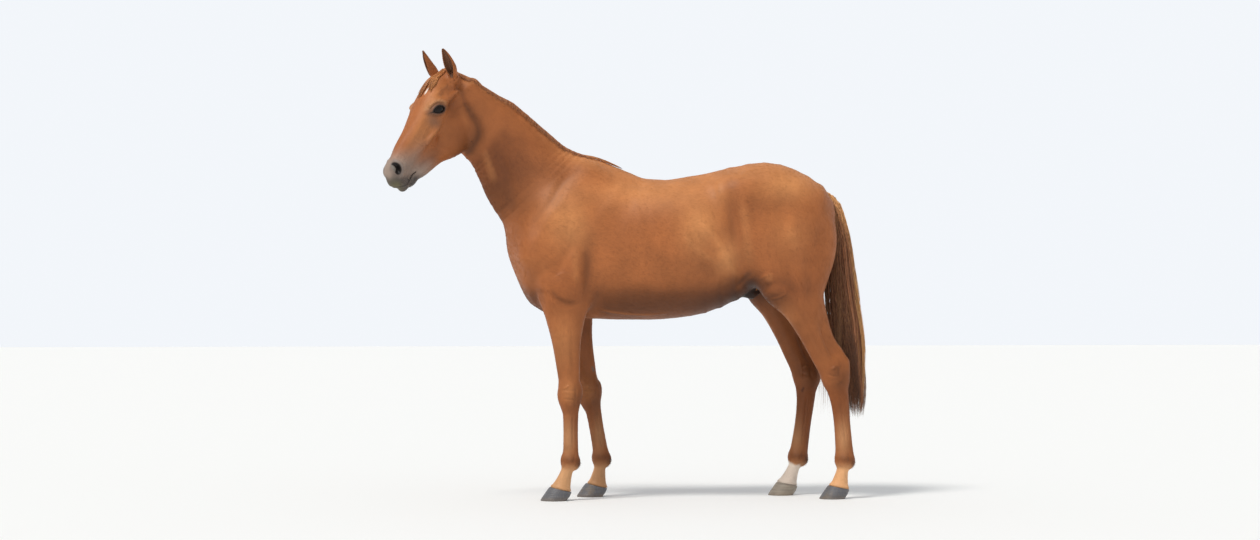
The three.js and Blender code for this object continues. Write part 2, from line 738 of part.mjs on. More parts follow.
// A closed loft: each ring is a list of points, all rings with the same number of them. The first and
// last rings are closed with a fan. Rings go round so that faces point outwards, or are turned round here.
function loft(rings) {
  const n = rings[0].length;
  const positions = rings.flat().flatMap((p) => p.toArray());
  const faces = [];
  for (let r = 0; r < rings.length - 1; r++)
    for (let i = 0; i < n; i++) {
      const a = r * n + i;
      const b = r * n + ((i + 1) % n);
      faces.push(a, b, b + n, a, b + n, a + n);
    }
  for (const [ring, flip] of [[0, true], [rings.length - 1, false]]) {
    const centre = rings[ring].reduce((sum, p) => sum.add(p), new THREE.Vector3()).divideScalar(n);
    const c = positions.length / 3;
    positions.push(...centre.toArray());
    for (let i = 0; i < n; i++) {
      const a = ring * n + i;
      const b = ring * n + ((i + 1) % n);
      faces.push(...(flip ? [c, b, a] : [c, a, b]));
    }
  }
  const g = new THREE.BufferGeometry()
    .setAttribute("position", new THREE.Float32BufferAttribute(positions, 3))
    .setIndex(faces);
  if (solid(g).volume() < 0) {
    for (let i = 0; i < faces.length; i += 3) [faces[i + 1], faces[i + 2]] = [faces[i + 2], faces[i + 1]];
    g.setIndex(faces);
  }
  return g;
}

// Elliptical rings along a curve, for the masses of long hair. Radii are given at the stations `at`.
function hairRings({ axis, towards, at, top, bottom, out, inn = out, rings, around }) {
  const curve = new THREE.CatmullRomCurve3(axis, false, "centripetal");
  return Array.from({ length: rings }, (_, r) => {
    const t = r / (rings - 1);
    const tangent = curve.getTangentAt(t);
    const normal = towards.clone().addScaledVector(tangent, -towards.dot(tangent)).normalize();
    const lateral = tangent.clone().cross(normal);
    const value = (list) => smoothValue(at, list, t);
    return Array.from({ length: around }, (_, i) => {
      const a = (2 * Math.PI * i) / around;
      const n = Math.cos(a);
      const l = Math.sin(a);
      return curve
        .getPointAt(t)
        .addScaledVector(normal, n * (n > 0 ? value(top) : value(bottom)))
        .addScaledVector(lateral, l * (l > 0 ? value(out) : value(inn)));
    });
  });
}

// ---------------------------------------------------------------- ears and eyes

// A cupped leaf: a cone of ear wall that is open to the front, closed near its base and pointed at its tip.
function earGeometry(side) {
  const curve = new THREE.QuadraticBezierCurve3(
    headPoint(62, -6, 57 * side),
    headPoint(36, 76, 98 * side),
    headPoint(-10, 145, 78 * side),
  );
  const open = headU.clone().addScaledVector(headV, 0.35).addScaledVector(headW, 0.5 * side);
  const at = [0, 0.18, 0.35, 0.55, 0.75, 0.9, 1];
  const radius = [24, 28, 30, 27, 20, 11, 2.2];
  const halfTurn = [168, 156, 132, 114, 104, 98, 96];
  const ROWS = 7;
  const ACROSS = 6;
  const rings = [];
  for (let r = 0; r <= ROWS; r++) {
    const t = r / ROWS;
    const tangent = curve.getTangentAt(t);
    const front = open.clone().addScaledVector(tangent, -open.dot(tangent)).normalize();
    const across = tangent.clone().cross(front);
    const outer = smoothValue(at, radius, t);
    const inner = Math.max(outer - EAR_WALL, 0.25 * outer);
    const turn = radians(smoothValue(at, halfTurn, t));
    const ring = [];
    for (const [reach, way] of [[outer, 1], [inner, -1]])
      for (let i = 0; i < ACROSS; i++) {
        const a = way * turn * (1 - (2 * i) / (ACROSS - 1));
        const p = curve.getPointAt(t).addScaledVector(front, -reach * Math.cos(a));
        ring.push(p.addScaledVector(across, reach * Math.sin(a)));
      }
    rings.push(ring);
  }
  return loft(rings);
}

const eyeCentre = (side) => headPoint(EYE.u, EYE.v, EYE.w * side);
function eyeSolid(side, radius) {
  const c = eyeCentre(side);
  return solid(joined(new THREE.SphereGeometry(radius, 10, 7).translate(c.x, c.y, c.z)));
}

// ---------------------------------------------------------------- hooves

// The wall spreads from the coronet to a flat sole. The outline is round at the toe and flat at the heels.
function hoofSolid(leg) {
  const AROUND = 14;
  const centre = legPoint(leg, "coronet");
  const outline = (x, z, front, back, half) =>
    Array.from({ length: AROUND }, (_, i) => {
      const a = (2 * Math.PI * i) / AROUND;
      const c = Math.cos(a);
      const s = Math.sin(a);
      const reach = c < 0 ? front : back * (1 - 0.16 * c * c);
      return v3(x + c * reach, centre.y + s * half * (c > 0 ? 1 - 0.12 * c : 1), z);
    });
  const shrink = leg.hind ? 0.95 : 1;
  const rings = [
    outline(centre.x - 34, 0, 66 * shrink, 72, 63 * shrink),
    outline(centre.x - 34, 5, 66 * shrink, 73, 64 * shrink),
    outline(centre.x - 18, 34, 62 * shrink, 70, 59 * shrink),
    outline(centre.x - 1, HOOF_HEIGHT + 6, 56 * shrink, 60, 53 * shrink),
  ];
  return below(solid(loft(rings)), coronetCut(leg));
}

// ---------------------------------------------------------------- where the parts are cut

// From behind the poll to the throat, turned half way with the head.
const pollPoint = v3(-832, -36, 2060);
const throatPoint = v3(-788, -40, 1665);
const acrossThroat = v3(-Math.sin(HEAD_YAW * 0.6), Math.cos(HEAD_YAW * 0.6), 0);
const headCut = plane(pollPoint.clone().sub(throatPoint).cross(acrossThroat), throatPoint);
// From the front of the withers to the top of the breast.
const neckCut = plane(v3(-0.746, 0, 0.666), v3(-213, 0, 1708));
const ELBOW_Z = 860;
const STIFLE_Z = 884;
const stifleBox = box(560, 1260, -340, 340, -20, STIFLE_Z);
function elbowBox(leg) {
  const [y0, y1] = leg.side === LEFT ? [-330, -70] : [70, 330];
  return box(leg.top[0] - 190, leg.top[0] + 190, y0, y1, -20, ELBOW_Z);
}
function kneeCut(leg) {
  const upwards = legPoint(leg, "top").sub(legPoint(leg, "fetlock")).setY(0);
  return plane(upwards, legPoint(leg, "knee").add(v3(0, 0, leg.hind ? 40 : 20)));
}
// Falls from the toe to the heels, with its normal towards the foot's bones.
const coronetCut = (leg) => plane(v3(leg.hind ? 0.2 : 0.24, 0, 1), v3(leg.coronet[0] - 54, 0, HOOF_HEIGHT));

// ---------------------------------------------------------------- the model

const COAT = { color: 0xb0633a, roughness: 0.55, metalness: 0 };
const HAIR = { color: 0x8a4a2a, roughness: 0.6, metalness: 0 };
const HORN = { color: 0x4a4745, roughness: 0.5, metalness: 0 };
const GLASSY = { color: 0x14100e, roughness: 0.08, metalness: 0 };

const horse = new THREE.Group();
function add(name, made, look, shortest = SHORTEST.flesh) {
  const geometry = withoutSlivers(geometryOf(largest(made)), shortest);
  const mesh = new THREE.Mesh(geometry, new THREE.MeshStandardMaterial(look));
  mesh.name = name;
  mesh.position.x = -CENTRE_X;
  horse.add(mesh);
  return solid(geometry);
}

const sides = [["left", LEFT], ["right", RIGHT]];

const headReach = { before: 120, after: 80, front: 200, back: 360, half: 180 };
const headRegion = around(headPoint(0, 0), headPoint(650, 0), headReach);
let head = above(solid(meshField(flesh, headRegion, CELL.head)), headCut);
head = solid(withoutSlivers(geometryOf(head), SHORTEST.head));
for (const [, side] of sides) head = head.subtract(eyeSolid(side, EYE_RADIUS + GAP / 2));
head = add("head", head, COAT, SHORTEST.trimmed);

const neckReach = { before: 260, after: 260, front: 420, back: 420, half: 240 };
const neckRegion = around(v3(-812, -34, 1970), v3(-349, 0, 1466), neckReach);
let neck = above(solid(meshField(flesh, neckRegion, CELL.neck)), neckCut);
neck = add("neck", below(neck, headCut), COAT);

let trunk = below(solid(meshField(flesh, upright(-640, 1060, -340, 340, 800, 1730), CELL.trunk)), neckCut);
trunk = trunk.subtract(boxSolid(stifleBox, GAP));
for (const leg of [LEGS.fore_left, LEGS.fore_right]) trunk = trunk.subtract(boxSolid(elbowBox(leg), GAP));
trunk = add("trunk", trunk, COAT);

for (const [name, leg] of Object.entries(LEGS)) {
  const [upperName, lowerName] = leg.hind ? ["gaskin", "hind_shank"] : ["forearm", "fore_shank"];
  const where = name.split("_")[1];
  const top = legPoint(leg, "top");
  const knee = legPoint(leg, "knee");
  const half = leg.hind ? 140 : 130;
  const upperRegion = around(top, knee, { before: 120, after: 130, front: 230, back: 230, half });
  const upper = solid(meshField(trunkOnly, upperRegion, CELL.upperLeg));
  const legBox = boxSolid(leg.hind ? stifleBox : elbowBox(leg));
  add(`${upperName}_${where}`, above(upper.intersect(legBox), kneeCut(leg)), COAT);

  const lowerReach = { before: 150, after: 190, front: 190, back: 190, half: 110 };
  const lowerRegion = around(knee, legPoint(leg, "fetlock"), lowerReach);
  const lower = below(solid(meshField(trunkOnly, lowerRegion, CELL.lowerLeg)), kneeCut(leg));
  add(`${lowerName}_${where}`, above(lower, coronetCut(leg)), COAT);
}

for (const [name, leg] of Object.entries(LEGS)) add(`hoof_${name}`, hoofSolid(leg), HORN, SHORTEST.smooth);

for (const [name, side] of sides) {
  add(`ear_${name}`, clearOf(solid(earGeometry(side)), [head]), COAT, SHORTEST.ear);
  add(`eye_${name}`, eyeSolid(side, EYE_RADIUS), GLASSY, SHORTEST.smooth);
}

// ---------------------------------------------------------------- long hair

const mane = solid(
  loft(
    hairRings({
      axis: [
        v3(-812, -20, 2048), v3(-745, -14, 2010), v3(-660, -4, 1954), v3(-560, 6, 1886), v3(-470, 12, 1818),
        v3(-380, 14, 1748), v3(-300, 12, 1694), v3(-240, 8, 1664), v3(-150, 2, 1640), v3(-80, 0, 1610),
        v3(-30, 0, 1578),
      ],
      towards: v3(0.6, 0, 0.8),
      at: [0, 0.1, 0.5, 0.75, 0.84, 0.93, 1],
      top: [8, 18, 22, 18, 12, 9, 3],
      bottom: [20, 60, 80, 60, 22, 14, 3],
      out: [20, 34, 48, 40, 24, 16, 4],
      inn: [16, 26, 34, 30, 22, 16, 4],
      rings: 13,
      around: 7,
    }),
  ),
);
add("mane", clearOf(mane, [head, neck, trunk]), HAIR, SHORTEST.hair);

const forelock = solid(
  loft(
    hairRings({
      axis: [
        headPoint(0, 48), headPoint(50, 62), headPoint(110, 76, -4), headPoint(165, 76, -12),
        headPoint(205, 70, -20),
      ],
      towards: headV,
      at: [0, 0.3, 0.7, 1],
      top: [5, 10, 9, 3],
      bottom: [18, 24, 22, 8],
      out: [16, 36, 40, 10],
      rings: 6,
      around: 6,
    }),
  ),
);
add("forelock", clearOf(forelock, [head]), HAIR, SHORTEST.hair);

const tail = solid(
  loft(
    hairRings({
      axis: [
        v3(890, 0, 1503), v3(950, 0, 1480), v3(1000, 0, 1443), v3(1025, 0, 1362), v3(1044, 0, 1256),
        v3(1057, 0, 1075), v3(1077, 0, 880), v3(1095, 0, 740), v3(1110, 0, 560), v3(1112, 0, 372),
      ],
      towards: v3(1, 0, 0.3),
      at: [0, 0.08, 0.16, 0.3, 0.5, 0.75, 0.92, 1],
      top: [18, 30, 38, 47, 58, 58, 46, 14],
      bottom: [24, 36, 50, 76, 106, 98, 66, 16],
      out: [26, 36, 44, 54, 74, 78, 60, 18],
      rings: 14,
      around: 12,
    }),
  ),
);
add("tail", clearOf(tail, [trunk]), HAIR, SHORTEST.hair);

export default horse;
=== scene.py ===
"""A life-size chestnut riding horse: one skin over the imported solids, eyes, hooves, coat tufts and long hair.

Shapes are worked out in millimetres from the same point as the solids' sizes, and become metres in the mesh.
"""

import math

import bpy
import bmesh
import numpy as np
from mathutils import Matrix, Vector


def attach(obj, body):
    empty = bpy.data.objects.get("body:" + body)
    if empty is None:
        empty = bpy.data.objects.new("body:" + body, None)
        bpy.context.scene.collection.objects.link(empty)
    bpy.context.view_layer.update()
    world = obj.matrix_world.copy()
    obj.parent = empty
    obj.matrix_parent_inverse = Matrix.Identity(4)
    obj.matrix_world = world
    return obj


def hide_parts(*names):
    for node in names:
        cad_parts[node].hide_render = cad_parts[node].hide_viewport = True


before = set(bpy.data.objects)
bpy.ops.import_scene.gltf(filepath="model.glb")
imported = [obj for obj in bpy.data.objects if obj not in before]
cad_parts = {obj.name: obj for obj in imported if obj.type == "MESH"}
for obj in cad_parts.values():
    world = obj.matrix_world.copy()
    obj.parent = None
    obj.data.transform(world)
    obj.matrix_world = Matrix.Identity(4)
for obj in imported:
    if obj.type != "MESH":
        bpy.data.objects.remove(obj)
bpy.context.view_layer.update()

# ------------------------------------------------------------------ sizes

LEFT, RIGHT = -1, 1
SHIFT = np.array([15.0, 0.0, 0.0])  # from the point the sizes start at to the model's origin
HEAD_YAW, HEAD_PITCH = math.radians(35), math.radians(58)
POLL = np.array([-872.0, -36.0, 2090.0])
BELLY = 868
HOOF_HEIGHT = 64
COAT_DEPTH = 2.5  # how far the skin lies inside the coat's outline, on the body

UP = np.array([0.0, 0.0, 1.0])
FORWARD = np.array([-1.0, 0.0, 0.0])


def v3(*xyz):
    return np.array(xyz, float)


def unit(v):
    v = np.asarray(v, float)
    return v / np.maximum(np.linalg.norm(v, axis=-1, keepdims=True), 1e-12)


def smoothstep(x, lo, hi):
    t = np.clip((x - lo) / (hi - lo), 0, 1)
    return t * t * (3 - 2 * t)


def bell(x, width):
    """1 at 0, falling to 0 on both sides."""
    return np.exp(-((x / width) ** 2))


def blob(a, b, middle, reach):
    """1 at the middle of a soft oval spot, falling to 0 round it."""
    return np.exp(-(((a - middle[0]) / reach[0]) ** 2) - ((b - middle[1]) / reach[1]) ** 2)


def dot(a, b):
    return np.einsum("ij,ij->i", a, b)


def metres(p):
    """From the millimetres that the sizes are in to the model's own frame."""
    return (np.asarray(p) + SHIFT) / 1000


def millimetres(co):
    return co.reshape(-1, 3) * 1000 - SHIFT


def hermite(at, values, t):
    """A smooth curve through (at, values), flat past both ends."""
    at, values, t = (np.asarray(a, float) for a in (at, values, t))
    slope = np.zeros_like(values)
    slope[1:-1] = (values[2:] - values[:-2]) / (at[2:] - at[:-2])
    i = np.clip(np.searchsorted(at, t, "right") - 1, 0, len(at) - 2)
    h = at[i + 1] - at[i]
    s = np.clip((t - at[i]) / h, 0, 1)
    a, b = 2 * s**3 - 3 * s**2 + 1, s**3 - 2 * s**2 + s
    return a * values[i] + b * h * slope[i] + (1 - a) * values[i + 1] + (s**3 - s**2) * h * slope[i + 1]


def spline(points, t):
    """Places and directions at shares t of the length of a centripetal Catmull-Rom curve."""
    p = np.asarray(points, float)
    p = np.vstack([2 * p[0] - p[1], p, 2 * p[-1] - p[-2]])
    s = np.linspace(0, 1, 40)[:, None]
    dense = []
    for p0, p1, p2, p3 in zip(p, p[1:], p[2:], p[3:]):
        d0, d1, d2 = (max(np.linalg.norm(b - a) ** 0.5, 1e-4) for a, b in ((p0, p1), (p1, p2), (p2, p3)))
        m1 = ((p1 - p0) / d0 - (p2 - p0) / (d0 + d1) + (p2 - p1) / d1) * d1
        m2 = ((p2 - p1) / d1 - (p3 - p1) / (d1 + d2) + (p3 - p2) / d2) * d1
        a, b = 2 * s**3 - 3 * s**2 + 1, s**3 - 2 * s**2 + s
        dense.append((a * p1 + b * m1 + (1 - a) * p2 + (s**3 - s**2) * m2)[:-1])
    dense = np.vstack([*dense, p[-2:-1]])
    length = np.concatenate([[0], np.cumsum(np.linalg.norm(np.diff(dense, axis=0), axis=1))])
    at = np.asarray(t, float) * length[-1]
    place = np.stack([np.interp(at, length, dense[:, k]) for k in range(3)], 1)
    e = length[-1] * 2e-3
    ahead = np.stack([np.interp(np.minimum(at + e, length[-1]), length, dense[:, k]) for k in range(3)], 1)
    behind = np.stack([np.interp(np.maximum(at - e, 0), length, dense[:, k]) for k in range(3)], 1)
    return place, unit(ahead - behind)


# ------------------------------------------------------------------ distances to smooth shapes


class Tube:
    """A closed tube along a curve, with its radii towards a reference direction, away from it, out and in."""

    STEPS = 26

    def __init__(
        self, axis, towards, at, top, bottom=None, out=None, inn=None, power=2.0, side=RIGHT, ends=(1, 1),
    ):
        bottom = top if bottom is None else bottom
        inn = out if inn is None else inn
        t = np.linspace(0, 1, self.STEPS + 1)
        self.c, self.t = spline(axis, t)
        towards = np.asarray(towards, float)
        self.n = unit(towards - self.t * (self.t @ towards)[:, None])
        self.l = np.cross(self.t, self.n)
        self.l[self.l[:, 1] * side < 0] *= -1
        self.r = np.stack([hermite(at, r, t) for r in (top, bottom, out, inn)], 1)
        self.cap = [ends[0] * self.r[0].mean(), ends[1] * self.r[-1].mean()]
        self.power = power
        far = self.r.max()
        self.lo, self.hi = self.c.min(0) - far, self.c.max(0) + far

    def __call__(self, p):
        nearest = np.argmin((self.c**2).sum(1) - 2 * (p @ self.c.T), axis=1)
        best = np.full(len(p), np.inf)
        seg = np.zeros(len(p), int)
        share = np.zeros(len(p))
        for i in (np.maximum(nearest - 1, 0), np.minimum(nearest, self.STEPS - 1)):
            a = self.c[i]
            ab = self.c[i + 1] - a
            s = np.clip(dot(p - a, ab) / dot(ab, ab), 0, 1)
            off = p - a - s[:, None] * ab
            d = dot(off, off)
            m = d < best
            best[m], seg[m], share[m] = d[m], i[m], s[m]
        w = share[:, None]

        def mix(x):
            return x[seg] * (1 - w) + x[seg + 1] * w

        q = p - mix(self.c)
        n = dot(q, mix(self.n))
        l = dot(q, mix(self.l))
        r = mix(self.r)
        rn = np.where(n > 0, r[:, 0], r[:, 1])
        rl = np.where(l > 0, r[:, 2], r[:, 3])
        along = dot(q, mix(self.t))
        past = np.where((seg == 0) & (share <= 0), np.maximum(0, -along) / self.cap[0], 0)
        past = np.where((seg == self.STEPS - 1) & (share >= 1), np.maximum(0, along) / self.cap[1], past)
        k = (np.abs(n / rn) ** self.power + np.abs(l / rl) ** self.power) ** (1 / self.power)
        k = np.hypot(k, past)
        length = np.linalg.norm(q, axis=1)
        return np.where(k < 1e-6, -np.minimum(rn, rl), length - length / np.maximum(k, 1e-6))


class Ball:
    """An ellipsoid, with its radii along the rows of `axes`."""

    def __init__(self, at, radii, dip=0, axes=None):
        if axes is None:
            c, s = math.cos(math.radians(dip)), math.sin(math.radians(dip))
            axes = np.array([[c, 0, -s], [0, 1, 0], [s, 0, c]])
        self.at, self.radii, self.axes = np.asarray(at, float), np.asarray(radii, float), axes
        self.lo, self.hi = self.at - max(radii), self.at + max(radii)

    def __call__(self, p):
        q = (p - self.at) @ self.axes.T
        k0 = np.linalg.norm(q / self.radii, axis=1)
        k1 = np.linalg.norm(q / self.radii**2, axis=1)
        return np.where(k1 < 1e-9, -self.radii.min(), k0 * (k0 - 1) / np.maximum(k1, 1e-9))


def meld(a, b, k):
    """The smaller of two distances, rounded over a width k where they cross."""
    h = np.maximum(k - np.abs(a - b), 0) / k
    return np.minimum(a, b) - h * h * k / 4


FAR = 60.0  # how far from the surface a field still has to be right


def value(parts, p):
    """The distance to one body made of (field, how softly it melts in, sign); sign -1 hollows it out."""
    d = np.full(len(p), 1e4)
    for field, k, *sign in parts:
        reach = k + FAR
        near = np.flatnonzero(np.all((p > field.lo - reach) & (p < field.hi + reach), axis=1))
        if not len(near):
            continue
        e = field(p[near])
        d[near] = -meld(-d[near], e, k) if sign else meld(d[near], e, k)
    return d


# ------------------------------------------------------------------ the head

ahead = v3(-math.cos(HEAD_YAW), -math.sin(HEAD_YAW), 0)
HEAD_U = ahead * math.cos(HEAD_PITCH) - UP * math.sin(HEAD_PITCH)
HEAD_V = ahead * math.sin(HEAD_PITCH) + UP * math.cos(HEAD_PITCH)
HEAD_W = v3(-math.sin(HEAD_YAW), math.cos(HEAD_YAW), 0)
HEAD_AXES = np.array([HEAD_U, HEAD_V, HEAD_W])


def head_point(u, v, w=0.0):
    """u runs down the face from the poll, v out of the forehead, w to the horse's right."""
    return POLL + u * HEAD_U + v * HEAD_V + w * HEAD_W


def head_ball(u, v, w, radii, tilt=0):
    c, s = math.cos(math.radians(tilt)), math.sin(math.radians(tilt))
    turn = np.array([[c, s, 0], [-s, c, 0], [0, 0, 1]])
    return Ball(head_point(u, v, w), radii, axes=turn @ HEAD_AXES)


def head_flesh():
    skull = Tube(
        [head_point(36, -6), head_point(200, 8), head_point(400, 0), head_point(606, 8)], HEAD_V,
        [0, 0.17, 0.33, 0.5, 0.66, 0.83, 1],
        [40, 66, 72, 72, 71, 71, 56], [60, 80, 92, 88, 78, 66, 55], [52, 68, 82, 74, 57, 47, 46],
        power=2.3, ends=(0.6, 0.8),
    )
    jaw = Tube(
        [head_point(*at) for at in ((150, -80), (240, -140), (320, -158), (420, -128), (590, -75))], HEAD_V,
        [0, 0.22, 0.4, 0.62, 0.84, 1],
        [50, 80, 80, 60, 45, 30], [70, 96, 94, 58, 46, 30], [60, 78, 74, 56, 42, 34],
        power=2.3, ends=(0.7, 0.7),
    )
    parts = [
        (skull, 20), (jaw, 34),
        (head_ball(602, 8, 0, [62, 59, 46]), 26),  # the muzzle
        (head_ball(42, -86, 0, [50, 58, 38]), 34),  # the poll
        (head_ball(640, -6, 0, [47, 44, 38]), 22),  # the upper lip
        (head_ball(632, -56, 0, [44, 30, 32], -16), 22),  # the lower lip
        (head_ball(600, -82, 0, [36, 27, 29]), 16),  # the chin
    ]
    for w in (LEFT, RIGHT):
        parts += [
            (head_ball(240, 28, 77 * w, [46, 20, 24], 40), 22),  # the bony rim over the eye
            (head_ball(170, -22, 75 * w, [66, 13, 15], 22), 26),  # the arch from the eye to the ear
            (head_ball(285, -150, 50 * w, [104, 100, 38]), 22),  # the big cheek muscle
            (head_ball(340, -40, 63 * w, [90, 12, 14]), 26),  # the facial crest
            (head_ball(606, 26, 35 * w, [38, 26, 19], 12), 26),  # the flare of the nostril
            (head_ball(160, 22, 78 * w, [24, 13, 12]), 16, -1),  # the hollow above the eye
            (head_ball(62, -4, 52 * w, [38, 28, 26]), 22),  # the root of the ear
        ]
    parts.append((head_ball(400, -236, 0, [150, 52, 22], 28), 22, -1))  # between the two jaw bones
    return parts


# ------------------------------------------------------------------ trunk, neck and legs


def trunk_flesh():
    x = np.array([-470, -400, -300, -200, -100, 0, 100, 200, 300, 400, 500, 600, 700, 800, 885, 945])
    middle = np.array([
        1190, 1195, 1200, 1205, 1212, 1218, 1222, 1228, 1240, 1262, 1300, 1335, 1350, 1352, 1345, 1330,
    ])
    top = np.array([
        1330, 1410, 1470, 1506, 1530, 1542, 1546, 1554, 1568, 1588, 1610, 1632, 1628, 1598, 1546, 1470,
    ])
    low = np.array([
        960, 900, 878, 872, BELLY, BELLY, BELLY, 876, 894, 938, 1000, 1052, 1100, 1135, 1150, 1190,
    ])
    width = [120, 165, 195, 222, 248, 272, 288, 296, 292, 279, 262, 248, 236, 214, 176, 110]
    barrel = Tube(
        [v3(a, 0, m) for a, m in zip(x, middle)], UP, (x - x[0]) / (x[-1] - x[0]),
        top - middle, middle - low, width,
        power=2.15, ends=(0.5, 0.4),
    )
    withers = Tube(
        [v3(-300, 0, 1560), v3(-150, 0, 1556), v3(-20, 0, 1530), v3(110, 0, 1500)], UP, [0, 0.35, 0.65, 1],
        [74, 54, 42, 34], [100, 90, 80, 60], [52, 56, 66, 80], power=1.8,
    )
    neck = Tube(
        [
            v3(-200, 0, 1345), v3(-349, 0, 1466), v3(-444, 0, 1556), v3(-540, -2, 1676), v3(-603, -6, 1750),
            v3(-658, -12, 1801), v3(-706, -18, 1850), v3(-760, -26, 1912), v3(-812, -34, 1970),
        ],
        v3(0.72, 0, 0.69), [0, 0.18, 0.31, 0.48, 0.59, 0.68, 0.77, 0.89, 1],
        [270, 246, 210, 182, 162, 150, 145, 109, 84], [316, 306, 280, 254, 230, 214, 202, 176, 130],
        [196, 172, 142, 108, 90, 82, 77, 74, 66], power=1.85, ends=(0.5, 0.5),
    )
    parts = [
        (barrel, 20), (withers, 60), (neck, 110),
        (Ball(v3(-486, 0, 1240), [96, 92, 112]), 110),  # front of the breast bone
        (Ball(v3(592, 0, 1003), [62, 36, 34], 18), 26),  # the sheath
        (Ball(v3(-560, 0, 1090), [70, 12, 130], -10), 40, -1),  # between the breast muscles
    ]
    for s in (LEFT, RIGHT):
        blade = Tube(
            [v3(-455, 158 * s, 1200), v3(-340, 158 * s, 1380), v3(-215, 92 * s, 1560)],
            v3(1, 0, 0.2), [0, 0.5, 1],
            [85, 105, 95], [80, 95, 70], [62, 52, 34], side=s,
        )
        rump = Tube(
            [v3(500, 146 * s, 1476), v3(680, 128 * s, 1488), v3(852, 92 * s, 1395)], UP, [0, 0.4, 1],
            [84, 118, 110], [110, 150, 140], [80, 118, 92], side=s,
        )
        hamstring = Tube(
            [v3(878, 80 * s, 1405), v3(912, 104 * s, 1270), v3(880, 132 * s, 1090), v3(866, 156 * s, 930)],
            v3(1, 0, 0), [0, 0.35, 0.7, 1],
            [74, 86, 78, 50], [80, 100, 100, 80], [74, 86, 78, 64], [60, 78, 76, 62], side=s,
        )
        thigh_front = Tube(
            [v3(560, 200 * s, 1400), v3(640, 196 * s, 1200), v3(706, 186 * s, 1030)], FORWARD, [0, 0.5, 1],
            [58, 84, 72], [90, 120, 100], [44, 64, 66], [60, 80, 80], side=s,
        )
        parts += [
            (blade, 70),
            (Ball(v3(-400, 84 * s, 1320), [128, 84, 150], 20), 110),  # base of the neck
            (Ball(v3(-428, 84 * s, 1120), [108, 96, 206], -10), 100),  # breast
            (Ball(v3(-452, 164 * s, 1190), [80, 52, 92]), 60),  # point of the shoulder
            (Ball(v3(-300, 170 * s, 1090), [130, 60, 150], 24), 50),  # triceps
            (rump, 110),
            (Ball(v3(522, 200 * s, 1486), [60, 42, 52]), 90),  # point of the hip
            (Ball(v3(770, 138 * s, 1215), [206, 112, 215], 10), 90),  # thigh
            (hamstring, 46), (thigh_front, 100),
        ]
    return parts


class Leg:
    """Where a leg's joints are, seen from the side; STANCE says how far each is from the middle plane."""

    STANCE = {
        False: dict(top=162, knee=136, fetlock=130, coronet=130),
        True: dict(top=180, knee=150, fetlock=142, coronet=142),
    }

    def __init__(self, side, hind, **joints):
        self.side, self.hind = side, hind
        for name, (x, z) in joints.items():
            setattr(self, name, v3(x, self.STANCE[hind][name] * side, z))


FORE, HIND = False, True
LEGS = {
    "fore_left": Leg(LEFT, FORE, top=(-322, 930), knee=(-303, 508), fetlock=(-302, 192), coronet=(-346, 62)),
    "fore_right": Leg(RIGHT, FORE, top=(-262, 930), knee=(-183, 508), fetlock=(-127, 190), coronet=(-148, 62)),
    "hind_left": Leg(LEFT, HIND, top=(735, 1010), knee=(985, 592), fetlock=(1036, 190), coronet=(1008, 60)),
    "hind_right": Leg(RIGHT, HIND, top=(690, 1010), knee=(894, 592), fetlock=(852, 188), coronet=(800, 60)),
}


def foot_flesh(g):
    big = 1.05 if g.hind else 1
    pastern = Tube(
        [g.fetlock, g.coronet, g.coronet + 0.28 * (g.coronet - g.fetlock)], FORWARD, [0, 0.3, 0.62, 0.85, 1],
        [38, 30, 38, 51, 55], [36, 29, 38, 50, 52], [34, 30, 38, 52, 55], side=g.side, ends=(0.6, 0.2),
    )
    return [
        (pastern, 20),
        (Ball(g.fetlock + v3(-3, 0, 0), [39 * big, 35 * big, 42 * big]), 22),
        (Ball(g.fetlock + v3(24 * big, 0, -12), [20, 26, 28]), 18),
    ]


def foreleg_flesh(g):
    forearm = Tube(
        [1.2 * g.top - 0.2 * g.knee, g.top, g.knee], FORWARD, [0, 0.17, 0.3, 0.5, 0.75, 0.92, 1],
        [124, 118, 102, 80, 62, 52, 52], [110, 104, 84, 63, 52, 47, 48],
        [70, 66, 63, 54, 45, 43, 46], [60, 56, 53, 47, 41, 42, 45], side=g.side,
    )
    cannon = Tube(
        [g.knee, g.fetlock], FORWARD, [0, 0.18, 0.32, 0.55, 0.8, 1],
        [50, 42, 37, 35, 36, 40], [46, 42, 39, 37, 38, 40], [42, 35, 29, 27, 29, 33], side=g.side,
    )
    return [
        (forearm, 60), (cannon, 20),
        (Ball(g.knee + v3(-5, 0, 2), [51, 46, 80]), 30),
        (Ball(g.knee + v3(40, 4 * g.side, 24), [15, 16, 34]), 18),  # back of the knee
        *foot_flesh(g),
    ]


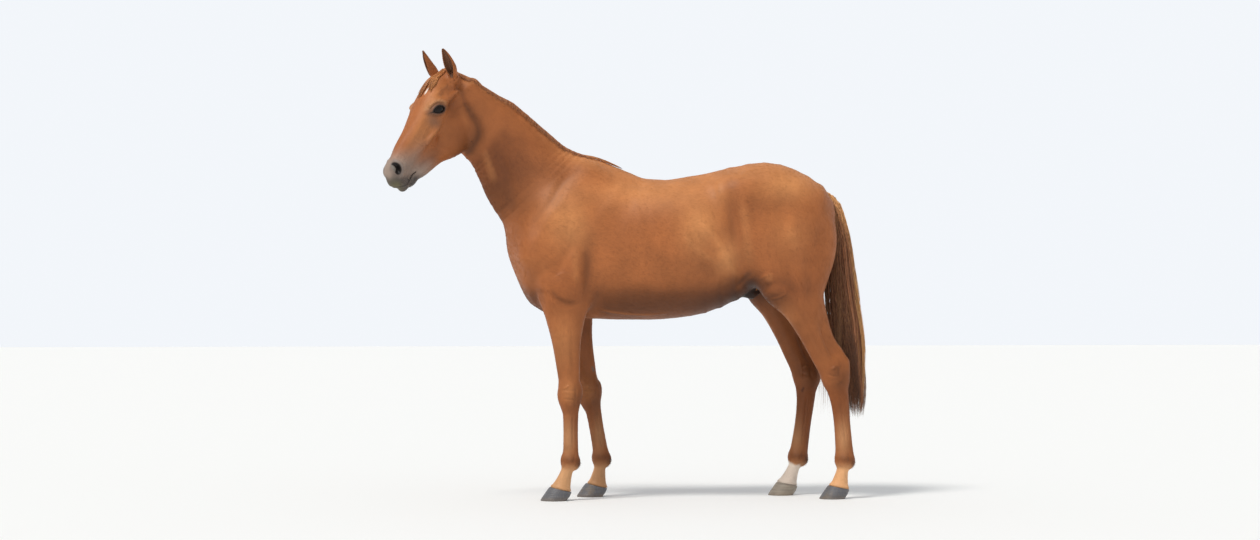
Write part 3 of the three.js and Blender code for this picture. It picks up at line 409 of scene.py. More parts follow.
def hindleg_flesh(g):
    heel = g.knee + v3(52, 0, 72)  # point of the hock
    gaskin = Tube(
        [g.top, g.knee], FORWARD, [0, 0.25, 0.5, 0.75, 1],
        [84, 62, 55, 57, 58], [150, 118, 84, 60, 58], [76, 70, 56, 43, 44], [76, 64, 50, 41, 44],
        side=g.side,
    )
    tendon = Tube(
        [
            g.top + 0.2 * (g.knee - g.top) + v3(96, -10 * g.side, 24),
            g.top + 0.62 * (g.knee - g.top) + v3(64, -4 * g.side, 36), heel, heel + v3(-6, 0, -82),
        ],
        v3(1, 0, 0), [0, 0.3, 0.55, 0.78, 1],
        [46, 32, 20, 22, 20], [70, 60, 36, 36, 40], [48, 34, 18, 21, 22], side=g.side,
    )
    cannon = Tube(
        [g.knee, g.knee + 0.3 * (g.fetlock - g.knee) + v3(10, 0, 0), g.fetlock],
        FORWARD, [0, 0.16, 0.32, 0.55, 0.8, 1],
        [60, 52, 45, 41, 42, 46], [60, 52, 45, 41, 43, 46], [46, 38, 31, 28, 30, 34], side=g.side,
    )
    return [
        (gaskin, 60), (tendon, 18), (Ball(g.knee + v3(2, 0, 8), [60, 46, 92], -14), 30), (cannon, 20),
        *foot_flesh(g),
    ]


HEAD = head_flesh()
TRUNK = trunk_flesh()
for g in LEGS.values():
    TRUNK += hindleg_flesh(g) if g.hind else foreleg_flesh(g)
THROAT_MELT = 36


def coronet_plane(g):
    """A leg's cut above its hoof: (normal, point), the normal towards the foot's bones."""
    return unit(v3(0.2 if g.hind else 0.24, 0, 1)), v3(g.coronet[0] - 54, g.coronet[1], HOOF_HEIGHT)


def near_foot(g, p, height):
    """Round one leg's foot, below a height."""
    return (p[:, 2] < height) & (np.abs(p[:, 0] - g.coronet[0]) < 130) & (p[:, 1] * g.side > 0)


def flesh(p):
    d = meld(value(HEAD, p), value(TRUNK, p), THROAT_MELT)
    for g in LEGS.values():
        normal, point = coronet_plane(g)
        near = np.flatnonzero(near_foot(g, p, 160))
        cut = -(p[near] - point) @ normal + 0.6
        d[near] = -meld(-d[near], -cut, 6)
    return d


# ------------------------------------------------------------------ places on the head


def in_head(p):
    """Places along the head's own directions: down the face, out of the forehead, to the horse's right."""
    q = p - POLL
    return q @ HEAD_U, q @ HEAD_V, q @ HEAD_W


def on_head(p):
    """1 on the head, fading to 0 at the top of the neck."""
    u, v, w = in_head(p)
    back = -60 + 0.45 * (v + 60)  # the head ends further back at the poll than at the throat
    return smoothstep(u + back * 0.6, -40, 70) * smoothstep(v, -330, -270) * (np.abs(w) < 190)


# ------------------------------------------------------------------ small shapes of the face and the body

EYE_MIDDLE = (258.0, 7.0)
EYE_TURN = math.radians(41.8)  # from down the face to the eye's inner corner
EYE_REACH = dict(inner=33.0, outer=30.0, up=19.0, low=13.0)  # half sizes of the opening between the lids
EYEBALL = v3(36, 28, 27)
EYEBALL_W = 73.0
LID_ARCH = (48.0, 34.0)  # half sizes of the dome the lids lie on
LID = 3.0

NOSTRIL_MIDDLE = (611.0, 38.0)
NOSTRIL_TURN = math.radians(-47.5)
NOSTRIL_REACH = (34.0, 21.0)


def turned(u, v, middle, angle):
    c, s = math.cos(angle), math.sin(angle)
    u, v = u - middle[0], v - middle[1]
    return u * c + v * s, v * c - u * s


def eye_plane(u, v):
    """Places towards the eye's inner corner and towards its upper lid."""
    return turned(u, v, EYE_MIDDLE, EYE_TURN)


def nostril_plane(u, v):
    """Places towards the nostril's lower end and towards the front."""
    return turned(u, v, NOSTRIL_MIDDLE, NOSTRIL_TURN)


def nostril_round(s, t):
    """(1 on the nostril's edge and 0 in its middle, 1 on the wing of skin inside its front half)."""
    r = np.hypot((s - 1) / NOSTRIL_REACH[0], (t - 4) / NOSTRIL_REACH[1])
    return r, blob(t, s, (20, -4), (13, 19))


def at_side(p, n):
    """1 on the sides of the muzzle, fading to 0 towards its front and underside."""
    w = in_head(p)[2]
    return smoothstep(np.abs(w), 12, 28) * smoothstep(n @ HEAD_W * np.sign(w), 0.05, 0.4)


def eye_round(a, b):
    """1 on the edge of the lids, 0 in the middle of the eye."""
    a = a / np.where(a > 0, EYE_REACH["inner"], EYE_REACH["outer"])
    b = np.abs(b) / np.where(b > 0, EYE_REACH["up"], EYE_REACH["low"])
    return np.sqrt(a * a + b**1.5)


def eyeball_front(a, b):
    round_ = 1 - (a / EYEBALL[0]) ** 2 - (b / EYEBALL[1]) ** 2
    return EYEBALL_W + EYEBALL[2] * np.sqrt(np.maximum(round_, 0))


def lid_front(a, b):
    """The outer face of the lids."""
    arch = np.sqrt(np.maximum(1 - (a / LID_ARCH[0]) ** 2 - (b / LID_ARCH[1]) ** 2, 0.04))
    return EYEBALL_W + (EYEBALL[2] + LID) * arch


def smooth_line(points):
    flat = np.column_stack([np.asarray(points, float), np.zeros(len(points))])
    return spline(flat, np.linspace(0, 1, 4 * len(points)))[0][:, :2]


def line_distance(a, b, line):
    """(distance to a line of points, share of the way along it) in a plane."""
    length = np.hypot(*np.diff(line, axis=0).T)
    start = np.concatenate([[0], np.cumsum(length)])
    best = np.full(len(a), 1e9)
    share = np.zeros(len(a))
    for (a0, b0), (da, db), s0, l in zip(line, np.diff(line, axis=0), start, length):
        s = np.clip(((a - a0) * da + (b - b0) * db) / (l * l), 0, 1)
        d = np.hypot(a - a0 - s * da, b - b0 - s * db)
        m = d < best
        best[m] = d[m]
        share[m] = (s0 + s[m] * l) / start[-1]
    return best, share


MOUTH_LINE = smooth_line([(560, -70), (581, -61), (609, -60), (636, -59), (656, -47), (673, -28), (688, -6)])

# behind the jaw
JAW_GROOVE = [(150, -128), (178, -172), (193, -206), (222, -238), (262, -258), (320, -268)]
EAR_GROOVE = [(88, -44), (123, -90), (161, -140)]  # from the ear down to it

# Each stroke is (height, width, line): a muscle's edge, a fold or a vein, raised or sunk along a line.
HEAD_STROKES = [
    (3.5, 9, [(296, -52), (330, -46), (403, -29), (440, -14)]),  # facial crest
    (-2.5, 13, [(320, -74), (400, -54), (450, -34)]),
    (-3.0, 14, [(409, -67), (398, -120), (372, -170), (362, -225)]),  # front edge of the cheek muscle
    (-4.0, 12, [(407, -123), (450, -98), (499, -71), (540, -60)]),  # groove of the cheek
    (2.5, 12, [(430, -150), (490, -118), (550, -92)]),
    (1.8, 3.6, [(384, -175), (398, -120), (412, -67), (458, -36), (496, -12), (515, 14)]),  # facial vein
    (1.4, 3.2, [(452, -40), (440, -10), (446, 22), (432, 44)]),
    (1.3, 3.2, [(330, 4), (366, 8), (402, 2), (430, -14)]),
    (1.2, 3.0, [(496, -12), (530, -24), (548, -40)]),
    (-3.0, 8, [(200, -30), (180, -50), (160, -72)]),  # crease behind the eye
    (-2.5, 9, [(196, -66), (160, -96), (134, -130)]),
    (2.0, 11, [(290, 44), (390, 40), (480, 44), (556, 54)]),  # edge of the nose bone
    (-2.0, 16, [(300, 22), (390, 12), (470, 12), (540, 24)]),
    (-7.0, 15, JAW_GROOVE),
    (-4.0, 10, EAR_GROOVE),
    (3.0, 16, [(122, -44), (152, -84), (194, -130), (218, -168), (244, -206)]),
    (2.2, 7, [(100, 8), (140, 26), (190, 44), (236, 48)]),  # temple
    (-2.0, 5, [(600, -98), (626, -96), (650, -92)]),  # under the lower lip
    (-1.3, 2.4, [(548, -84), (556, -70), (554, -56)]),  # folds at the corner of the mouth
    (-1.1, 2.4, [(537, -82), (545, -68), (543, -52)]),
    (1.6, 7, [(566, -50), (600, -44), (640, -42)]),  # upper lip's edge
    (-1.6, 7, [(570, -18), (604, -16), (640, -22)]),
    (-2.2, 6, [(560, 70), (566, 40), (578, 10)]),  # behind the nostril
    (-1.6, 5, [(540, 58), (544, 34), (556, 6)]),
]
BODY_STROKES = [
    (-5.0, 24, [(-243, 1593), (-328, 1544), (-401, 1440), (-465, 1359), (-513, 1255)]),  # shoulder blade
    (3.0, 44, [(-235, 1480), (-277, 1382), (-305, 1300), (-345, 1200)]),
    (-3.0, 34, [(-375, 1330), (-415, 1260), (-445, 1180)]),
    (-7.0, 30, [(-690, 1760), (-640, 1650), (-600, 1540), (-590, 1420), (-594, 1332)]),  # jugular groove
    (4.0, 28, [(-740, 1740), (-690, 1620), (-655, 1500)]),
    (-3.5, 36, [(-700, 1870), (-600, 1740), (-500, 1610), (-400, 1520)]),
    # point of the shoulder
    (1.8, 24, [(-567, 1078), (-567, 1142), (-519, 1166), (-455, 1142), (-423, 1078), (-423, 1030)]),
    (-4.0, 26, [(-462, 890), (-454, 960), (-451, 1040)]),  # between breast and arm
    (-5.0, 16, [(-427, 1040), (-387, 975), (-325, 944), (-249, 948)]),  # foot of the upper arm's muscle
    (-6.0, 22, [(-243, 1260), (-227, 1130), (-233, 1020), (-253, 920)]),  # behind the upper arm
    (3.5, 26, [(-283, 1240), (-287, 1140), (-281, 1020)]),
    (-3.0, 20, [(-277, 1240), (-325, 1190), (-365, 1120), (-387, 1040)]),
    (1.0, 6, [(-402, 1062), (-346, 1094), (-282, 1070)]),
    (3.6, 20, [(197, 1326), (278, 1222), (359, 1158), (455, 1094)]),  # folds of the flank
    (5.0, 20, [(285, 1390), (335, 1320), (385, 1255), (439, 1174), (488, 1094), (537, 1058)]),
    (-3.5, 18, [(285, 1310), (355, 1230), (415, 1150)]),
    (-2.5, 36, [(326, 1158), (359, 1094), (377, 1046)]),
    (2.5, 16, [(401, 1560), (405, 1520), (411, 1440)]),  # point of the hip
    (-4.5, 26, [(435, 1500), (453, 1400), (471, 1303), (488, 1200)]),
    (4.0, 34, [(495, 1490), (525, 1350), (541, 1200), (575, 1080)]),
    (-3.0, 44, [(620, 1490), (690, 1400), (760, 1320)]),
    (3.0, 56, [(700, 1300), (770, 1270), (800, 1180)]),
    (-4.2, 28, [(790, 1430), (811, 1300), (830, 1160), (846, 1030), (880, 900)]),  # between the hamstrings
    (-3.4, 22, [(675, 1190), (730, 1110), (775, 1010), (797, 930)]),
    (-5.0, 24, [(615, 990), (675, 1040), (735, 1040), (795, 990)]),  # round the stifle
    (4.0, 26, [(621, 1100), (657, 1050), (675, 980)]),
    (3.0, 6, [(-190, 922), (-64, 901), (60, 893), (180, 900)]),  # milk vein
    (0.9, 6, [(603, 1062), (635, 1086), (677, 1094)]),
    (1.0, 6, [(653, 966), (718, 990), (751, 1032)]),
    (2.2, 5, [(-435, 1040), (-405, 985), (-390, 925)]),
    (-3.0, 14, [(485, 1010), (525, 1050), (575, 1110)]),  # the fold from flank to stifle
]
BODY_RELIEF = 1.4
RIB_X = (-60, 10, 80, 150, 220)
BODY_STROKES += [(0.9, 16, [(x, 1400), (x + 34, 1240), (x + 40, 1080)]) for x in RIB_X]


def leg_strokes(g):
    """(height, width, line, which faces: 0 both, 1 the outer, -1 the inner)."""

    def along(a, b, *places):
        """(x, z) at each (share of the way from a to b, how far behind that line)."""
        return [((a + share * (b - a))[0] + behind, (a + share * (b - a))[2]) for share, behind in places]

    def cannon(*places):
        return along(g.knee, g.fetlock, *places)

    def upper(*places):
        return along(g.top, g.knee, *places)

    low = [
        (-4.5, 6, cannon((0.2, 10), (0.5, 10), (0.88, 10)), 0),  # bone and tendon
        (-2.5, 4.5, cannon((0.2, 24), (0.5, 24), (0.85, 24)), 0),
        (-2.5, 6, cannon((0.9, 18), (1.04, 12)), 0),
        (2.0, 12, cannon((0.97, -14), (1.02, 4)), 0),
        (-2.0, 8, along(g.fetlock, g.coronet, (0.4, 22), (0.8, 24)), 0),
    ]
    x, z = g.knee[0], g.knee[2]
    if g.hind:
        return low + [
            (-4.0, 13, upper((0.1, -4), (0.5, -4), (0.85, -4)), 1),
            (-8.0, 13, upper((0.34, 76), (0.6, 52), (0.88, 38)), 0),
            (2.2, 5, upper((0.42, 4), (0.45, 70), (0.58, 90)), 1),
            (4.0, 13, [(x - 18, z + 52), (x - 8, z + 40)], 0),
            (3.0, 12, [(x - 2, z - 14), (x + 20, z - 30)], 1),
            (-4.0, 9, [(x + 22, z + 60), (x + 14, z + 14), (x + 24, z - 20)], 0),
            (-2.5, 7, [(x - 46, z + 20), (x - 20, z + 6), (x + 8, z + 4)], 0),
            (2.5, 5, [(x - 42, z + 96), (x - 30, z + 30), (x - 34, z - 50)], -1),
        ]
    return low + [
        (-4.5, 12, upper((0.15, 14), (0.5, 14), (0.85, 14)), 1),
        (-3.0, 9, upper((0.15, -22), (0.5, -22), (0.8, -22)), 1),
        (-2.2, 9, upper((0.3, 10), (0.8, 10)), -1),
        (2.2, 5, upper((0.2, -30), (0.5, -6), (0.75, -18)), -1),
        (2.0, 5, upper((0.34, -18), (0.66, -24)), 1),
        (-2.0, 5, [(x - 44, z + 26), (x + 30, z + 20)], 0),
        (-2.0, 5, [(x - 42, z - 18), (x + 30, z - 22)], 0),
        (3.0, 11, [(x - 22, z + 46), (x - 16, z + 36)], 0),
        (3.0, 12, [(x - 10, z - 44), (x + 12, z - 52)], 0),
        (-3.5, 8, [(x + 22, z + 50), (x + 24, z), (x + 20, z - 50)], 0),
    ]


def stroke(total, a, b, weight, line, height, width, ends=0.3):
    line = smooth_line(line)
    low, high = line.min(0) - 2.6 * width, line.max(0) + 2.6 * width
    near = np.flatnonzero((weight > 0) & (a > low[0]) & (a < high[0]) & (b > low[1]) & (b < high[1]))
    d, s = line_distance(a[near], b[near], line)
    fade = smoothstep(np.minimum(s, 1 - s), -0.03, ends)
    total[near] += height * bell(d, width) * fade * weight[near]


def side_x(p):
    """x as on the near side, where the far legs stand further back or forward than the near ones."""
    x, z = p[:, 0], p[:, 2]
    fore = (LEGS["fore_right"].top - LEGS["fore_left"].top)[0] * smoothstep(-z, -1250, -930)
    hind = (LEGS["hind_right"].top - LEGS["hind_left"].top)[0] * smoothstep(-z, -1300, -1010)
    return x - np.where(p[:, 1] > 0, np.where(x < 250, fore, hind), 0)


def relief(p, n):
    """How much further out the skin's small forms lie, along the normals."""
    total = np.zeros(len(p))
    head = on_head(p)
    u, v, w = in_head(p)
    sideways = n @ HEAD_W * np.sign(w)
    for height, width, line in HEAD_STROKES:
        stroke(total, u, v, smoothstep(sideways, 0.1, 0.5) * head, line, 1.25 * height, width)
    x, z = side_x(p), p[:, 2]
    outward_facing = n[:, 1] * np.sign(p[:, 1])
    weight = smoothstep(outward_facing, 0.1, 0.5) * (1 - head)
    for height, width, line in BODY_STROKES:
        stroke(total, x, z, weight, line, BODY_RELIEF * height, width)
    for g in LEGS.values():
        own = (p[:, 1] * g.side > 0) & (p[:, 2] < 1020)
        for height, width, line, face in leg_strokes(g):
            facing = np.abs(n[:, 1]) if face == 0 else n[:, 1] * g.side * face
            stroke(total, p[:, 0], z, smoothstep(facing, 0.1, 0.5) * own, line, 1.25 * height, width)
        normal, point = coronet_plane(g)
        near = own & (p[:, 2] < 130) & (np.abs(p[:, 0] - g.coronet[0]) < 110)
        total += 2.2 * near * bell((p - point) @ normal - 10, 7)  # the coronet band
    down_middle = bell(p[:, 1], 14) * (1 - head)
    total -= 3.5 * down_middle * smoothstep(n[:, 2], 0.5, 0.9) * smoothstep(x, 420, 560) * (z > 1400)
    return total


# ------------------------------------------------------------------ the skin's mesh

LEG_NODES = ("forearm", "fore_shank", "gaskin", "hind_shank")
FLESH_NODES = [
    "head", "neck", "trunk", "ear_left", "ear_right",
    *(f"{part}_{side}" for part in LEG_NODES for side in ("left", "right")),
]
VOXEL = 0.008


def new_object(name, mesh):
    ob = bpy.data.objects.new(name, mesh)
    bpy.context.scene.collection.objects.link(ob)
    return ob


def mesh_of(verts_mm, faces, name="mesh"):
    me = bpy.data.meshes.new(name)
    me.from_pydata(metres(verts_mm).tolist(), [], faces)
    me.update()
    return me


def places(me):
    co = np.empty(len(me.vertices) * 3)
    me.vertices.foreach_get("co", co)
    return millimetres(co)


def set_places(me, p):
    me.vertices.foreach_set("co", metres(p).ravel())
    me.update()


def shade_smooth(me):
    me.polygons.foreach_set("use_smooth", np.ones(len(me.polygons), bool))


def normals(me):
    n = np.empty(len(me.vertices) * 3)
    me.vertex_normals.foreach_get("vector", n)
    return n.reshape(-1, 3)


def applied(ob):
    """The object's mesh with its modifiers applied; the object keeps the result."""
    made = bpy.data.meshes.new_from_object(ob.evaluated_get(bpy.context.evaluated_depsgraph_get()))
    ob.modifiers.clear()
    ob.data = made
    return made


def edges_of(me):
    e = np.empty(len(me.edges) * 2, int)
    me.edges.foreach_get("vertices", e)
    return e.reshape(-1, 2)


class Relax:
    """Averages over each vertex's neighbours."""

    def __init__(self, me):
        e = edges_of(me)
        self.a = np.concatenate([e[:, 0], e[:, 1]])
        self.b = np.concatenate([e[:, 1], e[:, 0]])
        self.n = len(me.vertices)
        self.count = np.maximum(np.bincount(self.a, minlength=self.n), 1)

    def __call__(self, x):
        if x.ndim == 1:
            return np.bincount(self.a, x[self.b], self.n) / self.count
        total = np.stack([np.bincount(self.a, x[self.b, k], self.n) for k in range(x.shape[1])], 1)
        return total / self.count[:, None]


def joined_flesh():
    """The flesh nodes but the ears, in one object, remeshed to one closed surface."""
    bm = bmesh.new()
    for name in FLESH_NODES:
        if not name.startswith("ear"):
            bm.from_mesh(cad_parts[name].data)
    bmesh.ops.remove_doubles(bm, verts=bm.verts, dist=1e-6)
    me = bpy.data.meshes.new("skin")
    bm.to_mesh(me)
    bm.free()
    ob = new_object("skin", me)
    remesh = ob.modifiers.new("remesh", "REMESH")
    remesh.mode = "VOXEL"
    remesh.voxel_size = VOXEL
    applied(ob)
    return ob


EAR_AT = [0, 0.18, 0.35, 0.55, 0.75, 0.9, 1]
EAR_RADIUS = [19, 24, 27, 25, 18.5, 10, 2.2]


def ear_line(side):
    """Root, bend and tip of an ear."""
    return head_point(62, -6, 57 * side), head_point(36, 76, 98 * side), head_point(-10, 145, 78 * side)


def ear_rings(side, rows, across, wall=4.0):
    """A cupped leaf of ear wall, open to the front, nearly closed round its foot and pointed at its tip."""
    base, middle, tip = ear_line(side)
    opened = HEAD_U + 0.35 * HEAD_V + 0.5 * side * HEAD_W
    half_turn = [168, 156, 132, 114, 104, 98, 96]
    rings = []
    for t in np.linspace(0, 1, rows):
        place = (1 - t) ** 2 * base + 2 * t * (1 - t) * middle + t**2 * tip
        tangent = unit(2 * (1 - t) * (middle - base) + 2 * t * (tip - middle))
        front = unit(opened - tangent * (opened @ tangent))
        side_way = np.cross(tangent, front)
        outer = float(hermite(EAR_AT, EAR_RADIUS, t))
        inner = max(outer - wall, 0.25 * outer)
        turn = math.radians(float(hermite(EAR_AT, half_turn, t)))
        a = turn * (1 - 2 * np.arange(across) / (across - 1))
        ring = []
        for reach, way in ((outer, 1), (inner, -1)):
            angle = way * a
            cos, sin = np.cos(angle)[:, None], np.sin(angle)[:, None]
            ring.append(place - reach * cos * front + reach * sin * side_way)
        rings.append(np.vstack(ring))
    return rings


def loft(rings):
    """(vertices, faces) of a closed loft."""
    n = len(rings[0])
    verts = np.vstack(rings)
    faces = []
    for r in range(len(rings) - 1):
        i = np.arange(n)
        j = (i + 1) % n
        faces += np.stack([r * n + i, r * n + j, (r + 1) * n + j, (r + 1) * n + i], 1).tolist()
    faces.append(list(range(n))[::-1])
    faces.append([(len(rings) - 1) * n + k for k in range(n)])
    return verts, faces


def outward(me):
    bm = bmesh.new()
    bm.from_mesh(me)
    bmesh.ops.recalc_face_normals(bm, faces=bm.faces)
    if bm.calc_volume(signed=True) < 0:
        bmesh.ops.reverse_faces(bm, faces=bm.faces)
    bm.to_mesh(me)
    bm.free()


def with_ears(ob):
    for side in (LEFT, RIGHT):
        verts, faces = loft(ear_rings(side, 40, 26))
        ear = new_object("ear", mesh_of(verts, faces))
        outward(ear.data)
        cut = ob.modifiers.new("ear", "BOOLEAN")
        cut.operation, cut.object, cut.solver = "UNION", ear, "MANIFOLD"
        applied(ob)
        bpy.data.objects.remove(ear)


def keep_largest(me):
    """Deletes all but the largest connected body."""
    e = edges_of(me)
    label = np.arange(len(me.vertices))
    while True:
        low = np.minimum(label[e[:, 0]], label[e[:, 1]])
        before = label.copy()
        np.minimum.at(label, e[:, 0], low)
        np.minimum.at(label, e[:, 1], low)
        label = label[label]
        if np.array_equal(before, label):
            break
    gone = np.flatnonzero(label != np.bincount(label).argmax())
    if len(gone):
        bm = bmesh.new()
        bm.from_mesh(me)
        bm.verts.ensure_lookup_table()
        bmesh.ops.delete(bm, geom=[bm.verts[i] for i in gone], context="VERTS")
        bm.to_mesh(me)
        bm.free()


def refine(me, inside):
    """Splits the faces whose middles `inside` says yes to into four."""
    centre = np.empty(len(me.polygons) * 3)
    me.polygons.foreach_get("center", centre)
    chosen = np.flatnonzero(inside(millimetres(centre)))
    bm = bmesh.new()
    bm.from_mesh(me)
    bm.faces.ensure_lookup_table()
    edges = list({e for i in chosen for e in bm.faces[i].edges})
    bmesh.ops.subdivide_edges(bm, edges=edges, cuts=1, use_grid_fill=True)
    bm.to_mesh(me)
    bm.free()


def low_leg(p):
    return p[:, 2] < np.where(p[:, 0] < 300, 600, 700)


def level(p):
    """How far inside the coat's outline the skin lies."""
    thin = np.maximum(on_head(p), smoothstep(-p[:, 2], -820, -560))
    return -(COAT_DEPTH - 1.3 * thin)


def project(me, rounds, free):
    """Moves the vertices onto the flesh's outline and evens them out; `free` is 0 where they stay."""
    relax = Relax(me)
    p = places(me)
    for _ in range(rounds):
        n = normals(me)
        away = relax(p) - p
        p += (free * 0.6)[:, None] * (away - n * dot(away, n)[:, None])
        d0 = flesh(p)
        d1 = flesh(p + n)
        slope = np.clip(d1 - d0, 0.5, 1.6)
        step = np.clip((d0 - level(p)) / slope, -8, 8)
        p -= (free * step)[:, None] * n
        set_places(me, p)


def detailed(p):
    """Round the eyes, on the muzzle and on the ears."""
    u, v, w = in_head(p)
    eye = np.hypot(np.hypot(u - EYE_MIDDLE[0], v - EYE_MIDDLE[1]), np.abs(w) - 85) < 62
    muzzle = (u > 545) & (u < 720) & (v > -160) & (v < 110)
    ear_root = (u < 110) & (u > 0) & (v > 6) & (v < 250) & ~in_ears(p)
    return (np.abs(w) < 160) & (eye | muzzle | ear_root)


def in_ears(p):
    """Above the ears' roots."""
    u, v, w = in_head(p)
    return (on_head(p) > 0.3) & (v > 36) & (u < 62) & (np.abs(w) > 32) & (v + u * 0.9 > 62)


def by_veins(p):
    """Close to the body's fine lines."""
    x, z = side_x(p), p[:, 2]
    near = np.zeros(len(p), bool)
    for _, width, line in BODY_STROKES:
        if width < 8:
            near |= line_distance(x, z, smooth_line(line))[0] < 16
    return near


def finest(p):
    """Close round the eyes, the nostrils and the mouth."""
    u, v, w = in_head(p)
    a, b = eye_plane(u, v)
    eye = (np.abs(w) > 55) & (np.abs(w) < 130) & (np.hypot(a, 1.35 * b) < 48)
    s, t = nostril_plane(u, v)
    nostril = (np.abs(w) > 14) & (np.abs(w) < 110) & (np.hypot(s / 50, (t - 4) / 34) < 1)
    lips = (u > 550) & (u < 720) & (v < 20) & (line_distance(u, v, MOUTH_LINE)[0] < 12)
    return eye | nostril | lips


def shape_face(p, n):
    """Lids, nostrils and mouth."""
    u, v, w = in_head(p)
    head = (on_head(p) > 0.5) & (np.abs(w) < 150)
    side = np.sign(w)
    a, b = eye_plane(u, v)
    r = eye_round(a, b)
    ball = eyeball_front(a, b)
    near = head & (r < 3.4) & (np.abs(w) > 50)
    depth = np.abs(w)
    crease = -2.4 * bell(b - 28 + 0.008 * a * a, 3.6) * smoothstep(-np.abs(a), -38, -20)
    crease += -1.5 * bell(b + 19 - 0.008 * a * a, 2.6) * smoothstep(-np.abs(a - 4), -26, -12)
    crease += -1.2 * bell(b + 26 - 0.010 * a * a, 2.6) * smoothstep(-np.abs(a - 8), -26, -12)
    tear = -2.6 * bell(b + 3 - 0.05 * (a - 30), 2.6) * smoothstep(a, 26, 32) * smoothstep(-a, -52, -40)
    hold = 1 - smoothstep(r, 1.25, 2.3)
    outside = depth * (1 - hold) + lid_front(a, b) * hold + (crease + tear) * smoothstep(-r, -3.0, -2.0)
    cover = 1.2 * np.logaddexp(0, (ball + 2.4 - outside) / 1.2)  # the lids stay outside the ball
    outside = outside + cover * (1 - smoothstep(np.hypot(a / EYEBALL[0], b / EYEBALL[1]), 0.98, 1.25))
    inside = ball - 6.0
    goal = inside + (outside - inside) * smoothstep(r, 0.96, 1.07)
    move = np.where(near, goal - depth, 0)
    p = p + (move * side)[:, None] * HEAD_W

    s, t = nostril_plane(u, v)
    r, wing = nostril_round(s, t)
    near = head * at_side(p, n) * ((u > 540) & (r < 3))
    hole = -25 * (1 - smoothstep(r, 0.35, 1.0))
    rim = 2.4 * bell(r - 1.25, 0.2) * (0.35 + 0.65 * smoothstep(-t, -14, 6))
    p = p + (near * (hole * (1 - 0.85 * wing) + rim))[:, None] * n

    groove = np.zeros(len(p))
    lips = (head & (u > 550)) * (1 - 0.7 * smoothstep(u, 606, 640))
    stroke(groove, u, v, lips, MOUTH_LINE, -6.5, 3.0, ends=0.02)
    return p + groove[:, None] * n


def soften(me, share, rounds):
    """Moves the vertices by a share of the way to the middle of their neighbours, and says where they are."""
    relax = Relax(me)
    p = places(me)
    for _ in range(rounds):
        p += share[:, None] * (relax(p) - p)
    set_places(me, p)
    return p


def even_out(me):
    """Softens the throat, the loin, and the rump above the tail."""
    p = places(me)
    head = on_head(p)
    x, z = p[:, 0], p[:, 2]
    throat = smoothstep(head, 0, 0.06) * smoothstep(-head, -0.6, -0.3)
    rump = smoothstep(x, 740, 830) * smoothstep(z, 1290, 1380)
    loin = smoothstep(x, 220, 290) * smoothstep(-x, -460, -390) * smoothstep(z, 1380, 1480)
    soften(me, 0.5 * np.maximum(np.maximum(throat, rump), loin), 24)


def soften_brow(me, rounds):
    """Keeps the hollow above each eye shallow."""
    u, v, w = in_head(places(me))
    soft = blob(u, v, (210, 37), (20, 20)) * (np.abs(w) > 24)
    soften(me, 0.6 * smoothstep(soft, 0.1, 0.5), rounds)


def smooth_ears(me, ear, rounds):
    """Softens the line where the ears meet the head."""
    relax = Relax(me)
    band = ear.astype(float)
    for _ in range(4):
        band = relax(band)
    band = smoothstep(band, 0.02, 0.3) * smoothstep(-band, -0.98, -0.7)
    soften(me, 0.6 * band, rounds)


def make_skin():
    skin = joined_flesh()
    with_ears(skin)
    me = skin.data
    keep_largest(me)
    refine(me, lambda p: low_leg(p) | ((on_head(p) > 0.02) & ~in_ears(p)) | by_veins(p))
    refine(me, detailed)
    p = places(me)
    relax = Relax(me)
    u, v, _ = in_head(p)
    ear = (flesh(p) > 2.4) & (u < 150) & (v > -30)
    free = 1 - ear.astype(float)
    for _ in range(3):
        free = np.where(ear, free, relax(free))
    soften(me, 0.5 * free, 3)
    project(me, 3, free)
    even_out(me)
    soften_brow(me, 30)
    smooth_ears(me, ear, 10)
    p, n = places(me), normals(me)
    set_places(me, p + (relief(p, n) * free)[:, None] * n)
    refine(me, finest)
    close = finest(places(me))
    p = soften(me, 0.5 * close, 3)
    set_places(me, shape_face(p, normals(me)))
    soften(me, 0.35 * close, 1)
    soften_brow(me, 12)
    shade_smooth(me)
    return skin


skin = make_skin()
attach(skin, "root")
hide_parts(*FLESH_NODES)


# ------------------------------------------------------------------ the coat's markings, with painted shade and painted highlights


def srgb(r, g, b):
    c = np.array([r, g, b]) / 255
    return np.where(c <= 0.04045, c / 12.92, ((c + 0.055) / 1.055) ** 2.4)


CHESTNUT = srgb(166, 97, 50)
GOLDEN = srgb(208, 138, 82)
NECK_BROWN = srgb(124, 68, 32)
RED_BROWN = srgb(136, 74, 32)
DEEP_BROWN = srgb(80, 42, 16)
NEARLY_BLACK = srgb(34, 24, 20)
PALE = srgb(222, 168, 118)
LEG_BROWN = srgb(152, 88, 44)
MUZZLE_GREY = srgb(152, 136, 124)
LIP_GREY = srgb(68, 64, 62)
LIP_STAIN = srgb(112, 106, 62)
EYE_SKIN = srgb(96, 74, 62)
EYE_SHADE = srgb(128, 94, 74)
RIM_GREY = srgb(142, 132, 126)
WING_GREY = srgb(112, 106, 98)
WHITE = srgb(236, 226, 214)
SOCK = srgb(216, 200, 184)
EAR_DARK = srgb(124, 84, 60)
NAIL_GREY = srgb(108, 98, 88)
